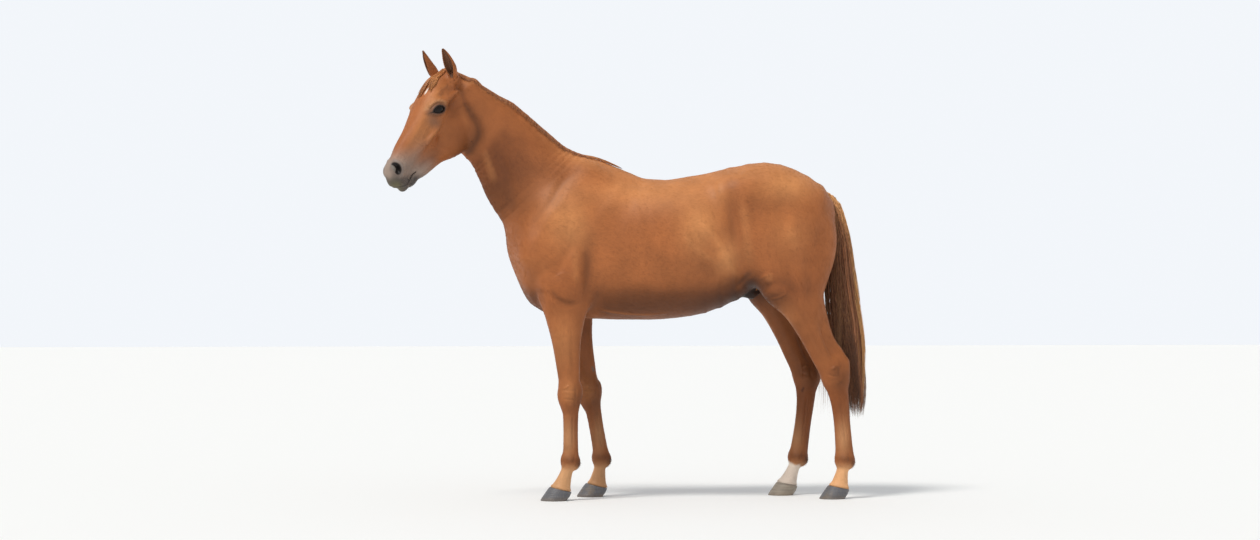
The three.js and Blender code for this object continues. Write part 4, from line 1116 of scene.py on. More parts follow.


# Each patch is (colour, strength, middle, reach), seen from the side. Some are painted highlights or painted
# shade, as marked.
BODY_PATCHES = [
    (NECK_BROWN, 0.95, (-640, 1610), (190, 230)),
    (DEEP_BROWN, 0.5, (-640, 1480), (120, 180)),
    (CHESTNUT, 0.7, (-500, 1850), (230, 60)),
    (NECK_BROWN, 0.7, (-750, 1690), (90, 90)),
    # painted highlight on the shoulder blade, this patch and the next
    (GOLDEN, 0.7, (-345, 1360), (100, 130)),
    (GOLDEN, 0.35, (-277, 1290), (60, 90)),
    (NECK_BROWN, 0.35, (-355, 1560), (80, 60)),
    (RED_BROWN, 0.35, (-335, 1060), (100, 90)),
    # painted shade in the groove behind the upper arm
    (DEEP_BROWN, 0.5, (-229, 1110), (30, 140)),
    (GOLDEN, 0.5, (60, 1480), (330, 80)),
    # painted highlight on the ridge of the flank
    (GOLDEN, 0.85, (307, 1330), (95, 130)),
    # painted highlight on the front edge of the point of the hip
    (GOLDEN, 0.5, (405, 1500), (40, 70)),
    # painted highlight on the fold of the flank
    (GOLDEN, 0.85, (438, 1170), (56, 84)),
    # painted shade in the groove behind the point of the hip
    (DEEP_BROWN, 0.35, (469, 1400), (32, 150)),
    (NECK_BROWN, 0.5, (560, 1440), (66, 56)),
    (GOLDEN, 0.9, (745, 1530), (150, 80)),
    (GOLDEN, 0.3, (750, 1290), (110, 90)),
    (RED_BROWN, 0.5, (890, 1180), (60, 200)),
    (NECK_BROWN, 0.75, (730, 1020), (170, 90)),
    (DEEP_BROWN, 0.15, (351, 1110), (80, 60)),
    (DEEP_BROWN, 0.4, (640, 970), (90, 60)),
]
HEAD_PATCHES = [
    (NECK_BROWN, 0.5, (180, -60), (80, 70)),
    (RED_BROWN, 0.4, (300, -160), (130, 80)),
    # painted shade under the head, between the jaw bones
    (DEEP_BROWN, 0.6, (330, -236), (130, 50)),
    (GOLDEN, 0.5, (420, 20), (150, 60)),
    (GOLDEN, 0.4, (230, 60), (90, 50)),
    # painted shade in the crease behind the eye
    (DEEP_BROWN, 0.4, (190, -44), (34, 20)),
    # painted shade in the groove of the cheek
    (DEEP_BROWN, 0.45, (450, -105), (70, 26)),
    (RED_BROWN, 0.5, (470, -60), (60, 40)),
    (EYE_SHADE, 0.6, (314, -4), (30, 42)),
    (MUZZLE_GREY, 0.6, (500, -40), (66, 70)),
]


def sheath(p):
    return blob(p[:, 0], p[:, 2], (566, 1008), (84, 50)) * bell(p[:, 1], 66) * (p[:, 2] < 1076)


def coat_colour(p, n, ear):
    """The coat's colour at places on the skin, or at its tufts' roots: its markings, with painted shade and
    painted highlights laid in.
    """
    colour = np.tile(CHESTNUT, (len(p), 1))

    def lay(tint, weight):
        nonlocal colour
        colour = colour + np.clip(weight, 0, 1)[:, None] * (tint - colour)

    head = on_head(p)
    body = 1 - head
    x, y, z = side_x(p), p[:, 1], p[:, 2]
    for tint, strength, middle, reach in BODY_PATCHES:
        lay(tint, body * strength * blob(x, z, middle, reach))
    trunk = body * smoothstep(z, 800, 1000)
    # painted highlight: the trunk's faces turned up are laid lighter, as lit from above
    lay(GOLDEN, 0.6 * trunk * smoothstep(n[:, 2], 0.35, 0.95))
    # painted shade: the barrel darkens towards its lower part, and the faces turned down under the belly are
    # laid deep brown to nearly black
    lay(RED_BROWN, 0.5 * trunk * smoothstep(-z, -1120, -930) * (x < 480))
    low = trunk * smoothstep(70 * smoothstep(x, 300, 560) - z, -1080, -990)  # on the breast it stays light
    lay(DEEP_BROWN, 0.9 * low * smoothstep(-n[:, 2], 0.1, 0.8))
    lay(NEARLY_BLACK, 0.6 * low * smoothstep(-n[:, 2], 0.55, 0.95))
    # painted shade in the skin's grooves and painted highlights on its raised forms, taken from the relief
    form = relief(p, n)
    lay(DEEP_BROWN, 0.24 * smoothstep(-form, 1.0, 11))
    lay(GOLDEN, 0.30 * smoothstep(form, 1.0, 7))
    lay(0.3 * NEARLY_BLACK, 0.98 * smoothstep(sheath(p), 0.3, 0.55))
    # painted shade between the hind legs, close to the middle plane
    lay(DEEP_BROWN, 0.8 * body * (np.abs(y) < 120) * blob(x, z, (780, 1080), (170, 170)))
    for g in LEGS.values():
        own = body * smoothstep(y * g.side, -5, 25) * smoothstep(-z, -1000, -860)
        own *= smoothstep(-np.abs(p[:, 0] - g.knee[0]), -420, -330)
        kx, kz, fx, fz = g.knee[0], g.knee[2], g.fetlock[0], g.fetlock[2]
        px = p[:, 0]
        under_body = (px - g.top[0]) * (-1 if g.hind else 1)  # how far under the belly
        own *= np.where(z > 850, smoothstep(-under_body, -210, -140), 1)
        inner = smoothstep(-n[:, 1] * g.side, 0.0, 0.6)
        lay(LEG_BROWN, 0.8 * own)
        lay(GOLDEN, 0.4 * own * blob(px, z, (g.top[0] - 20, kz + 250), (60, 120)) * (1 - inner))
        lay(DEEP_BROWN, own * 0.6 * blob(px, z, (kx + 26, kz - 60), (40, 90)))
        if g.hind:
            lay(DEEP_BROWN, own * 0.4 * blob(px, z, (kx, kz + 30), (44, 34)))
        else:
            lay(GOLDEN, own * 0.45 * blob(px, z, (kx - 14, kz + 20), (34, 60)))
        lay(RED_BROWN, own * 0.8 * smoothstep(-z, -kz + 10, -kz + 90) * smoothstep(z, 130, 260))
        lay(PALE, own * 0.45 * blob(px, z, (fx - 14, fz + 110), (34, 90)))
        lay(PALE, own * 0.85 * smoothstep(-z, -fz, -fz + 60))
        lay(DEEP_BROWN, own * 0.6 * blob(px, z, (fx + 38, fz - 16), (20, 20)))
        lay(DEEP_BROWN, own * 0.45 * blob(px, z, (fx + 4, fz + 6), (50, 16)))
        # painted shade on each leg's inner face, which turns towards the other leg
        lay(DEEP_BROWN, own * 0.35 * inner)
        if g.hind and g.side == RIGHT:
            edge = z + 0.34 * (px - fx) + 5 * np.sin(px * 0.13) + 4 * np.sin(y * 0.17)
            lay(SOCK, own * 0.95 * smoothstep(-edge, -(fz - 34), -(fz - 46)))
        if g.hind:
            horny, tint = g.knee + v3(-22, 0, -70), DEEP_BROWN
        else:
            horny, tint = g.top + 0.72 * (g.knee - g.top) + v3(34, 0, 0), NAIL_GREY
        spot = blob(px + 3 * np.sin(z * 0.21), z, horny[[0, 2]], (7, 16))
        lay(tint, own * 0.8 * smoothstep(inner, 0.5, 0.9) * smoothstep(spot, 0.3, 0.7))

    u, v, w = in_head(p)
    side = np.abs(w)
    for tint, strength, middle, reach in HEAD_PATCHES:
        lay(tint, head * strength * blob(u, v, middle, reach) * smoothstep(side, 20, 60))
    star = smoothstep(blob(u + 4 * np.sin(w * 0.5), w, (190, -21), (30, 7)), 0.35, 0.75)
    lay(WHITE, head * 0.9 * star * smoothstep(v, 30, 50))
    muzzle = smoothstep(u - 0.25 * (v + 20) + 6 * np.sin(w * 0.11), 462, 586)
    lay(MUZZLE_GREY, head * 0.9 * muzzle)
    to_lips = 0.825 * (u - 563) - 0.5625 * (v + 69)  # from the mouth's corner and the nose's tip down
    lay(LIP_GREY, head * 0.85 * smoothstep(to_lips + 5 * np.sin(w * 0.13), 2, 44))
    lay(LIP_GREY, head * 0.7 * smoothstep(u, 560, 600) * smoothstep(-v, 66, 84))
    lay(LIP_STAIN, head * 0.55 * blob(u, v, (676, -18), (20, 36)))
    gap = smoothstep(-line_distance(u, v, MOUTH_LINE)[0], -3.4, -1.4) * (u > 550)
    lay(NEARLY_BLACK, head * 0.85 * gap * (1 - 0.5 * smoothstep(u, 606, 640)))
    # painted shade along the groove behind the jaw and the groove down from the ear
    for line, strength, reach in ((JAW_GROOVE, 0.55, 20), (EAR_GROOVE, 0.35, 10)):
        gap = line_distance(u, v, smooth_line(line))[0]
        lay(DEEP_BROWN, strength * head * bell(gap, reach) * smoothstep(side, 24, 44))
    a, b = eye_plane(u, v)
    r = eye_round(a, b)
    lay(EYE_SKIN, head * (side > 50) * 0.75 * smoothstep(-r, -2.4, -1.2))
    lay(PALE, head * (side > 50) * 0.25 * bell(r - 1.9, 0.26) * smoothstep(b, 8, 18))
    lay(NEARLY_BLACK, head * (side > 50) * 0.96 * smoothstep(-r, -1.36, -1.14))
    lay(NEARLY_BLACK, head * (side > 50) * 0.85 * blob(a, b + 3, (40, 0), (11, 2.6)))
    s, t = nostril_plane(u, v)
    r, wing = nostril_round(s, t)
    at_nose = head * smoothstep(side, 12, 28) * (u > 560)
    lay(LIP_GREY, at_nose * 0.4 * smoothstep(-r, -1.6, -1.05))
    lay(RIM_GREY, at_nose * 0.4 * bell(r - 1.22, 0.18) * smoothstep(-t, -8, 8))
    # the nostril's hollow is laid nearly black: partly its own dark skin, partly painted shade inside the hole
    lay(NEARLY_BLACK * 0.5, at_nose * smoothstep(-r, -1.0, -0.8) * (1 - 0.8 * smoothstep(wing, 0.3, 0.62)))
    lay(WING_GREY, at_nose * 0.75 * smoothstep(-r, -1.05, -0.85) * smoothstep(wing, 0.35, 0.65))
    inside, tip = ear
    lay(EAR_DARK, 0.92 * inside)
    lay(DEEP_BROWN, 0.6 * tip)
    return colour


def ear_place(p):
    """(share of the way up the nearer ear, distance outside its wall) of places; far away: 1000."""
    share = np.zeros(len(p))
    gap = np.full(len(p), 1000.0)
    u, v, w = in_head(p)
    t = np.linspace(0, 1, 60)
    for side in (LEFT, RIGHT):
        base, middle, tip = ear_line(side)
        core = np.outer((1 - t) ** 2, base) + np.outer(2 * t * (1 - t), middle) + np.outer(t**2, tip)
        near = np.flatnonzero((w * side > 12) & (v > 0) & (u < 115) & (u > -80))
        d = np.sqrt(((p[near][:, None] - core) ** 2).sum(2))
        best = d.argmin(1)
        share[near] = t[best]
        gap[near] = d[np.arange(len(near)), best] - hermite(EAR_AT, EAR_RADIUS, t[best])
    return share, gap


def on_ear(p):
    return in_ears(p) & (ear_place(p)[1] < 2.5)


def at_ear_root(p):
    """In the crease where an ear meets the head."""
    share, gap = ear_place(p)
    return (share < 0.26) & (gap < 6)


def ear_masks(p):
    """(1 in the ear's hollow, 1 towards its tip)."""
    share, gap = ear_place(p)
    inside = smoothstep(-gap, 1.6, 3.0) * smoothstep(share, 0.03, 0.08)
    return inside, smoothstep(share, 0.75, 1) * (gap < 5)


def with_tone(me, colours):
    colours = np.column_stack([colours, np.ones(len(colours))])
    me.attributes.new("tone", "FLOAT_COLOR", "POINT").data.foreach_set("color", colours.ravel())


def with_coat_marks(me, leg, face, bare):
    """Where the coat is short and lies down the leg, lies along the face, or is bare."""
    for key, values in (("leg", leg), ("face", face), ("bare", bare)):
        me.attributes.new(key, "FLOAT", "POINT").data.foreach_set("value", values)


def down_the_leg(p):
    """1 on the legs, fading to 0 at their tops."""
    return smoothstep(-p[:, 2], -980, -760)


def paint(me):
    """Writes the markings, painted shade and highlights into the mesh as `tone`, with `leg`, `face` and `bare`
    for the coat's grain.
    """
    p, n = places(me), normals(me)
    with_tone(me, coat_colour(p, n, ear_masks(p)))
    u, v, _ = in_head(p)
    bare = on_head(p) * smoothstep(u - 0.2 * v, 590, 660)
    with_coat_marks(me, down_the_leg(p), on_head(p), bare)


# ------------------------------------------------------------------ materials


class Nodes:
    """A short way to write a material's nodes."""

    def __init__(self, name):
        self.material = bpy.data.materials.new(name)
        self.material.use_nodes = True
        self.tree = self.material.node_tree
        self.shader = self.tree.nodes["Principled BSDF"]

    def add(self, kind, inputs=None, **settings):
        node = self.tree.nodes.new(kind)
        for key, value in settings.items():
            setattr(node, key, value)
        for key, value in (inputs or {}).items():
            self.set(node.inputs[key], value)
        return node

    def set(self, socket, value):
        if isinstance(value, bpy.types.NodeSocket):
            self.tree.links.new(value, socket)
        else:
            socket.default_value = value

    def attribute(self, name, out="Fac"):
        return self.add("ShaderNodeAttribute", attribute_name=name).outputs[out]

    def noise(self, scale, stretch=(1, 1, 1), turn=(0, 0, 0), detail=3.0):
        where = self.add("ShaderNodeTexCoord").outputs["Object"]
        mapping = self.add("ShaderNodeMapping", {"Vector": where, "Rotation": turn, "Scale": stretch})
        inputs = {"Vector": mapping.outputs[0], "Scale": scale, "Detail": detail, "Roughness": 0.55}
        return self.add("ShaderNodeTexNoise", inputs).outputs["Fac"]

    def fit(self, value, low, high, to_low=0.0, to_high=1.0):
        inputs = {"Value": value, "From Min": low, "From Max": high, "To Min": to_low, "To Max": to_high}
        return self.add("ShaderNodeMapRange", inputs).outputs[0]

    def mix(self, share, a, b):
        node = self.add("ShaderNodeMix", data_type="FLOAT")
        for index, value in enumerate((share, a, b)):
            self.set(node.inputs[(0, 2, 3)[index]], value)
        return node.outputs[0]

    def blend(self, share, a, b, how="MIX"):
        node = self.add("ShaderNodeMix", data_type="RGBA", blend_type=how)
        for index, value in enumerate((share, a, b)):
            self.set(node.inputs[(0, 6, 7)[index]], value)
        return node.outputs[2]

    def shade(self, colour, value, low, high, darkest, lightest):
        """The colour times a factor that follows `value`."""
        factor = dict.fromkeys(("Red", "Green", "Blue"), self.fit(value, low, high, darkest, lightest))
        return self.blend(1.0, colour, self.add("ShaderNodeCombineColor", factor).outputs[0], "MULTIPLY")

    def bump(self, height, strength, distance, after=None):
        inputs = {"Height": height, "Strength": strength, "Distance": distance}
        if after is not None:
            inputs["Normal"] = after
        return self.add("ShaderNodeBump", inputs).outputs[0]


def coat_nodes(name, on_tufts):
    """The coat's colour from the markings and their painted shade and highlights, broken up by mottling and
    fine hair along its lie.
    """
    m = Nodes(name)
    leg, face, bare = (m.attribute(a) for a in ("leg", "face", "bare"))
    back_to_tail = m.noise(70, (1, 8, 8), (0, math.radians(24), 0))
    down_leg = m.noise(60, (8, 8, 1))
    down_face = m.noise(80, (8, 8, 1.2), (0, math.radians(-30), math.radians(-35)))
    hair = m.mix(face, m.mix(leg, back_to_tail, down_leg), down_face)
    broad = m.noise(9, detail=4.0)
    patch = m.noise(3.2, detail=2.0)
    tone = m.shade(m.attribute("tone", "Color"), broad, 0.3, 0.7, 0.88, 1.10)
    tone = m.shade(tone, patch, 0.35, 0.65, 0.93, 1.06)
    tone = m.shade(tone, hair, 0.3, 0.7, 0.91, 1.08)
    s = m.shader
    m.set(s.inputs["Base Color"], tone)
    m.set(s.inputs["Roughness"], m.fit(hair, 0.3, 0.7, 0.46, 0.58))
    s.inputs["Specular IOR Level"].default_value = 0.3
    s.inputs["Sheen Weight"].default_value = 0.06
    s.inputs["Sheen Roughness"].default_value = 0.4
    s.inputs["Sheen Tint"].default_value = (1.0, 0.86, 0.74, 1)
    if not on_tufts:
        fine = m.mix(bare, hair, m.noise(420, detail=2.0))
        normal = m.bump(fine, 0.4, 0.0006)
        wrinkled = m.noise(60, (1, 1, 1), detail=3.0)
        normal = m.bump(wrinkled, m.mix(bare, 0.10, 0.45), 0.0016, normal)
        m.set(s.inputs["Normal"], normal)
    return m.material


def hair_material():
    m = Nodes("hair")
    tone = m.attribute("tone", "Color")
    streak = m.noise(40, (6, 6, 1), detail=3.0)
    tone = m.shade(tone, streak, 0.3, 0.7, 0.72, 1.24)
    m.set(m.shader.inputs["Base Color"], tone)
    m.set(m.shader.inputs["Roughness"], m.fit(streak, 0.3, 0.7, 0.34, 0.5))
    m.shader.inputs["Specular IOR Level"].default_value = 0.35
    m.shader.inputs["Sheen Weight"].default_value = 0.05
    return m.material


def hoof_material():
    m = Nodes("hoof")
    rings = m.noise(34, (0.35, 0.35, 5.0), detail=3.0)
    grain = m.noise(60, (5, 5, 0.5), detail=2.0)
    dirt = m.noise(18, detail=4.0)
    tone = m.attribute("tone", "Color")
    tone = m.blend(m.fit(rings, 0.35, 0.65, 0.0, 0.35), tone, (*srgb(64, 62, 62), 1))
    tone = m.blend(m.fit(grain, 0.5, 0.7, 0.0, 0.2), tone, (*srgb(168, 152, 132), 1))
    tone = m.blend(m.fit(dirt, 0.55, 0.7, 0.0, 0.5), tone, (*srgb(124, 104, 78), 1))
    m.set(m.shader.inputs["Base Color"], tone)
    m.set(m.shader.inputs["Roughness"], m.fit(rings, 0.3, 0.7, 0.42, 0.62))
    m.set(m.shader.inputs["Normal"], m.bump(rings, 0.5, 0.0012, m.bump(grain, 0.35, 0.0008)))
    return m.material


def eye_material():
    m = Nodes("eye")
    streak = m.noise(300, (1, 1, 4), detail=2.0)
    tone = m.attribute("tone", "Color")
    tone = m.blend(m.fit(streak, 0.35, 0.7, 0.0, 0.5), tone, (*srgb(66, 40, 24), 1), "ADD")
    tone = m.blend(0.9, tone, m.attribute("tone", "Color"))
    m.set(m.shader.inputs["Base Color"], tone)
    m.shader.inputs["Roughness"].default_value = 0.07
    m.shader.inputs["Specular IOR Level"].default_value = 0.22
    return m.material


def dress(ob, material):
    ob.data.materials.clear()
    ob.data.materials.append(material)


COAT = coat_nodes("coat", False)
TUFT = coat_nodes("coat_tufts", True)
HAIR = hair_material()

paint(skin.data)
dress(skin, COAT)


# ------------------------------------------------------------------ eyes and hooves


def eye_axes(side):
    """An eye's directions: towards its inner corner, towards its upper lid, outwards."""
    return np.array([
        HEAD_U * math.cos(EYE_TURN) + HEAD_V * math.sin(EYE_TURN),
        HEAD_V * math.cos(EYE_TURN) - HEAD_U * math.sin(EYE_TURN),
        HEAD_W * side,
    ])


def make_eye(word, side):
    """A ball behind the lids, with a level oval pupil in a dark brown iris."""
    rows, around = 40, 56
    axes = eye_axes(side)
    middle = head_point(*EYE_MIDDLE, EYEBALL_W * side)
    lat = np.pi * np.arange(1, rows) / rows
    lon = 2 * np.pi * np.arange(around) / around
    a = np.outer(np.sin(lat), np.cos(lon)).ravel()
    b = np.outer(np.sin(lat), np.sin(lon)).ravel()
    c = np.outer(np.cos(lat), np.ones(around)).ravel()
    local = np.vstack([[0, 0, 1], np.column_stack([a, b, c]), [0, 0, -1]])
    faces = []
    for r in range(rows - 2):
        for k in range(around):
            j = (k + 1) % around
            a, b = 1 + r * around, 1 + (r + 1) * around
            faces.append((a + k, b + k, b + j, a + j))
    last = len(local) - 1
    for k in range(around):
        j = (k + 1) % around
        faces.append((0, 1 + k, 1 + j))
        faces.append((last, last - around + j, last - around + k))
    me = mesh_of(middle + (local * EYEBALL) @ axes, faces, "eyeball_" + word)
    ob = new_object("eyeball_" + word, me)
    outward(me)
    # the pupil lies level: along the head's own forward direction in the eye's plane
    x, y = local[:, 0] * EYEBALL[0], local[:, 1] * EYEBALL[1]
    tilt = -EYE_TURN + math.radians(20)
    px, py = x * math.cos(tilt) + y * math.sin(tilt), y * math.cos(tilt) - x * math.sin(tilt)
    pupil = 1 - smoothstep(np.hypot(px / 10, py / 5.5), 0.9, 1.15)
    iris = 1 - smoothstep(np.hypot(px / 25, py / 20), 0.95, 1.1)
    rim = srgb(16, 12, 11)
    colours = rim + iris[:, None] * (srgb(20, 12, 8) - rim)
    colours = colours + pupil[:, None] * (srgb(4, 4, 6) - colours)
    with_tone(me, colours)
    shade_smooth(me)
    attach(ob, "root")
    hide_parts("eye_" + word)
    dress(ob, EYE)


EYE = eye_material()
for word, side in (("left", LEFT), ("right", RIGHT)):
    make_eye(word, side)


def hoof_rings(g):
    """Level rings of the hoof's wall from the sole up, with growth rings."""
    around, rows = 72, 46
    c = g.coronet
    shrink = 0.95 if g.hind else 1.0
    at = [0, 5, 34, HOOF_HEIGHT + 6]
    middle = [c[0] - 34, c[0] - 34, c[0] - 18, c[0] - 1]
    front = [66 * shrink, 66 * shrink, 62 * shrink, 56 * shrink]
    back = [72, 73, 70, 60]
    half = [63 * shrink, 64 * shrink, 59 * shrink, 53 * shrink]
    normal, point = coronet_plane(g)
    a = 2 * np.pi * np.arange(around) / around
    cos, sin = np.cos(a), np.sin(a)
    rings = []
    for t in np.linspace(0, 1, rows):
        # each ring tilts from the level sole to the coronet's own slope
        z = t * (HOOF_HEIGHT + 6)
        x0, f, b, h = (np.interp(z, at, values) for values in (middle, front, back, half))
        reach = np.where(cos < 0, f, b * (1 - 0.16 * cos * cos))
        x = x0 + cos * reach
        y = sin * h * np.where(cos > 0, 1 - 0.12 * cos, 1)
        top = point[2] + 1.5 - (x - point[0]) * normal[0] / normal[2]
        z = top * t
        wave = 0.32 * math.sin(t * 43) + 0.2 * math.sin(t * 71 + 1)
        grow = 1 + (wave * (t > 0.06) - 1.8 * smoothstep(t, 0.9, 1.0)) / 60
        x, y = x0 + (x - x0) * grow, y * grow
        rings.append(np.column_stack([x, c[1] + y, z]))
    return rings


def make_hoof(word, g):
    rings = hoof_rings(g)
    foot = rings[0].mean(0)
    inner = []
    for share, lift in ((0.93, 0.0), (0.87, 3.0), (0.55, 6.0), (0.2, 7.0)):
        ring = foot + (rings[0] - foot) * share
        ring[:, 2] = lift
        inner.append(ring)
    crown = rings[-1].mean(0)
    caps = []
    for share in (0.8, 0.4):
        ring = crown + (rings[-1] - crown) * share
        ring[:, 2] -= 2.0
        caps.append(ring)
    verts, faces = loft(inner[::-1] + rings + caps)
    me = mesh_of(verts, faces, "horn_" + word)
    ob = new_object("horn_" + word, me)
    outward(me)
    p = places(me)
    base = srgb(150, 138, 122) if (g.hind and g.side == RIGHT) else srgb(94, 94, 98)
    low = smoothstep(-p[:, 2], -26, -2)[:, None]
    colours = base + low * 0.35 * (srgb(128, 108, 84) - base)
    frog = ((p[:, 2] < 7.5) & (np.hypot(p[:, 0] - foot[0], p[:, 1] - foot[1]) < 52))[:, None]
    with_tone(me, np.where(frog, srgb(84, 74, 64), colours))
    shade_smooth(me)
    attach(ob, "root")
    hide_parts("hoof_" + word)
    dress(ob, HORN)


HORN = hoof_material()
for word, g in LEGS.items():
    make_hoof(word, g)


# ------------------------------------------------------------------ the coat's tufts

PATCH = 0.003  # how far each tuft spreads on its map


def wrap(axis, towards, p):
    """Where places lie round and along a curved limb: (share along, share of the way round)."""
    centres, ways = spline(axis, np.linspace(0, 1, 40))
    nearest = np.argmin((centres**2).sum(1) - 2 * (p @ centres.T), axis=1)
    way = ways[nearest]
    off = p - centres[nearest]
    up = unit(np.asarray(towards, float) - way * (way @ np.asarray(towards, float))[:, None])
    across = np.cross(way, up)
    angle = np.arctan2(dot(off, across), dot(off, up))
    step = np.linalg.norm(centres[1] - centres[0])
    along = (nearest + dot(off, way) / step) / 39
    return along, angle / (2 * np.pi) + 0.5


NECK_AXIS = [v3(-872, -40, 1960), v3(-700, -16, 1800), v3(-520, 0, 1560), v3(-340, 0, 1330)]
TRUNK_AXIS = [v3(-560, 0, 1180), v3(0, 0, 1215), v3(500, 0, 1290), v3(985, 0, 1330)]
HEAD_AXIS = [head_point(-10, -30), head_point(300, -50), head_point(690, -20)]


def lie(p, n):
    """Which way the coat lies on the skin."""
    head = on_head(p)
    u, v, _ = in_head(p)
    x, z = p[:, 0], p[:, 2]
    neck = smoothstep(-x, 240, 480) * smoothstep(z, 1150, 1350)
    breast = smoothstep(-x, 380, 500) * smoothstep(-z, -1350, -1150)
    leg = smoothstep(-z, -1060, -820)
    rump = smoothstep(x, 520, 800)
    way = np.tile(v3(1, 0, -0.35), (len(p), 1))
    for goal, weight in (
        (v3(0.70, 0, -0.71), neck),
        (v3(0.3, 0, -1), breast),
        (v3(0.55, 0, -0.9), rump),
        (v3(0, 0, -1), leg),
    ):
        way = way + weight[:, None] * (goal - way)
    face = HEAD_U * 1.0 - HEAD_V * (0.45 * smoothstep(-v, 20, 160))[:, None]
    way = way + head[:, None] * (face - way)
    ears = (head > 0.5) & (v > 30) & (u < 60)
    way[ears] = HEAD_V * 0.9 - HEAD_U * 0.3
    way = unit(way)
    return unit(way - n * dot(way, n)[:, None])


def place_roots(me, count, density, seed):
    """Random places on the skin, about evenly spaced where `density` is 1: (places, normals)."""
    rng = np.random.default_rng(seed)
    me.calc_loop_triangles()
    tris = np.empty(len(me.loop_triangles) * 3, int)
    me.loop_triangles.foreach_get("vertices", tris)
    tris = tris.reshape(-1, 3)
    p, n = places(me), normals(me)
    corner, second, third = p[tris].transpose(1, 0, 2)
    area = np.linalg.norm(np.cross(second - corner, third - corner), axis=1) / 2
    share = area * density(p[tris].mean(1), n[tris[:, 0]])
    chosen = rng.choice(len(tris), count, p=share / share.sum())
    r1, r2 = np.sqrt(rng.random(count)), rng.random(count)
    weights = np.stack([1 - r1, r1 * (1 - r2), r1 * r2], 1)[:, :, None]
    return (p[tris[chosen]] * weights).sum(1), unit((n[tris[chosen]] * weights).sum(1))


def blades(roots, n, way, length, width, lift):
    """Closed thin blades, four faces each: (vertices, triangles)."""
    across = np.cross(n, way)
    tip = roots + length[:, None] * (way * np.cos(lift)[:, None] + n * np.sin(lift)[:, None])
    low = roots - n * 0.5
    verts = np.stack([
        low - across * (width / 2)[:, None], low + across * (width / 2)[:, None],
        roots + n * (0.28 * width)[:, None] + way * (0.25 * length)[:, None], tip,
    ], 1)
    base = 4 * np.arange(len(roots))[:, None, None]
    faces = np.array([[0, 2, 1], [0, 1, 3], [1, 2, 3], [2, 0, 3]])
    return verts.reshape(-1, 3), (base + faces).reshape(-1, 3)


def tri_mesh(name, verts, tris):
    me = bpy.data.meshes.new(name)
    me.vertices.add(len(verts))
    me.vertices.foreach_set("co", metres(verts).ravel())
    me.loops.add(len(tris) * 3)
    me.loops.foreach_set("vertex_index", tris.ravel().astype(np.int32))
    me.polygons.add(len(tris))
    me.polygons.foreach_set("loop_start", 3 * np.arange(len(tris), dtype=np.int32))
    shade_smooth(me)
    me.update(calc_edges=True)
    return me


def small_patches(me, root_uv, verts_each):
    """The map OFBake: each tuft or strand is a small patch at its root's place."""
    index = np.empty(len(me.loops), int)
    me.loops.foreach_get("vertex_index", index)
    which, corner = index // verts_each, index % verts_each
    angle = corner * 2.4
    reach = PATCH / 2 * (0.55 + 0.45 * (corner % 2))
    uv = root_uv[which] + reach[:, None] * np.column_stack([np.cos(angle), np.sin(angle)])
    layer = me.uv_layers.new(name="OFBake")
    layer.data.foreach_set("uv", np.clip(uv, 0, 1).ravel())


def finish_piece(name, me, colours, verts_each, root_uv, material, replaced=()):
    with_tone(me, colours)
    small_patches(me, root_uv, verts_each)
    ob = new_object(name, me)
    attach(ob, "root")
    if replaced:
        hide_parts(*replaced)
    dress(ob, material)
    return ob


def make_tufts(name, count, density, seed, length, width, lift, unwrap):
    """One coat piece: `length`, `width` and `lift` give each tuft's form from its root."""
    rng = np.random.default_rng(seed + 1)
    roots, n = place_roots(skin.data, count, density, seed)
    way = lie(roots, n)
    across = np.cross(n, way)
    way = unit(way + across * rng.normal(0, 0.14, len(roots))[:, None])
    size = rng.uniform(0.75, 1.25, len(roots))
    tone = coat_colour(roots, n, ear_masks(roots)) * rng.normal(1.0, 0.05, (len(roots), 1))
    rise = np.radians(lift(roots, n)) * rng.uniform(0.7, 1.3, len(roots))
    verts, tris = blades(roots, n, way, length(roots, n) * size, width(roots, n) * size, rise)
    me = tri_mesh(name, verts, tris)
    along, round_ = unwrap(roots)
    uv = np.clip(np.column_stack([along, round_]) * 0.98 + 0.01, 0.003, 0.997)
    me.normals_split_custom_set_from_vertices(np.repeat(n, 4, axis=0))
    ob = finish_piece(name, me, np.repeat(np.clip(tone, 0, 1), 4, axis=0), 4, uv, TUFT)
    marks = (down_the_leg(roots), on_head(roots), np.zeros(len(roots)))
    with_coat_marks(me, *(np.repeat(values, 4) for values in marks))
    return ob


def away_from_bare(p):
    """0 on the lips, the nostrils, the lids and inside the hooves' cut."""
    u, v, w = in_head(p)
    a, b = eye_plane(u, v)
    head = on_head(p)
    lids = smoothstep(eye_round(a, b), 1.25, 1.8) + (np.abs(w) < 50)
    muzzle = smoothstep(-u + 0.3 * v, -650, -560)
    s, t = nostril_plane(u, v)
    nostril = smoothstep(np.hypot(s / 44, (t - 4) / 28), 1, 1.3)
    keep = np.clip(lids, 0, 1) * muzzle * nostril
    off = np.ones(len(p))
    for g in LEGS.values():
        normal, point = coronet_plane(g)
        off = np.where(near_foot(g, p, 130) & ((p - point) @ normal < 5), 0, off)
    return np.where(head > 0.3, keep, off) * (1 - smoothstep(sheath(p), 0.25, 0.5))


def is_trunk(p, n):
    return (on_head(p) <= 0.3) & (p[:, 2] > 800) & ~is_neck(p, n)


def is_neck(p, n):
    return (on_head(p) <= 0.3) & (p[:, 0] < -330) & (p[:, 2] > 1250 - 0.4 * (p[:, 0] + 330))


def steady(value):
    return lambda p, n: np.full(len(p), float(value))


def half_round(axis, towards, side):
    """A map of one side of a limb."""

    def unwrap(p):
        along, turn = wrap(axis, towards, p)
        turn = np.abs(turn - 0.5) * 2
        return along * 0.9 + 0.05, turn

    return unwrap


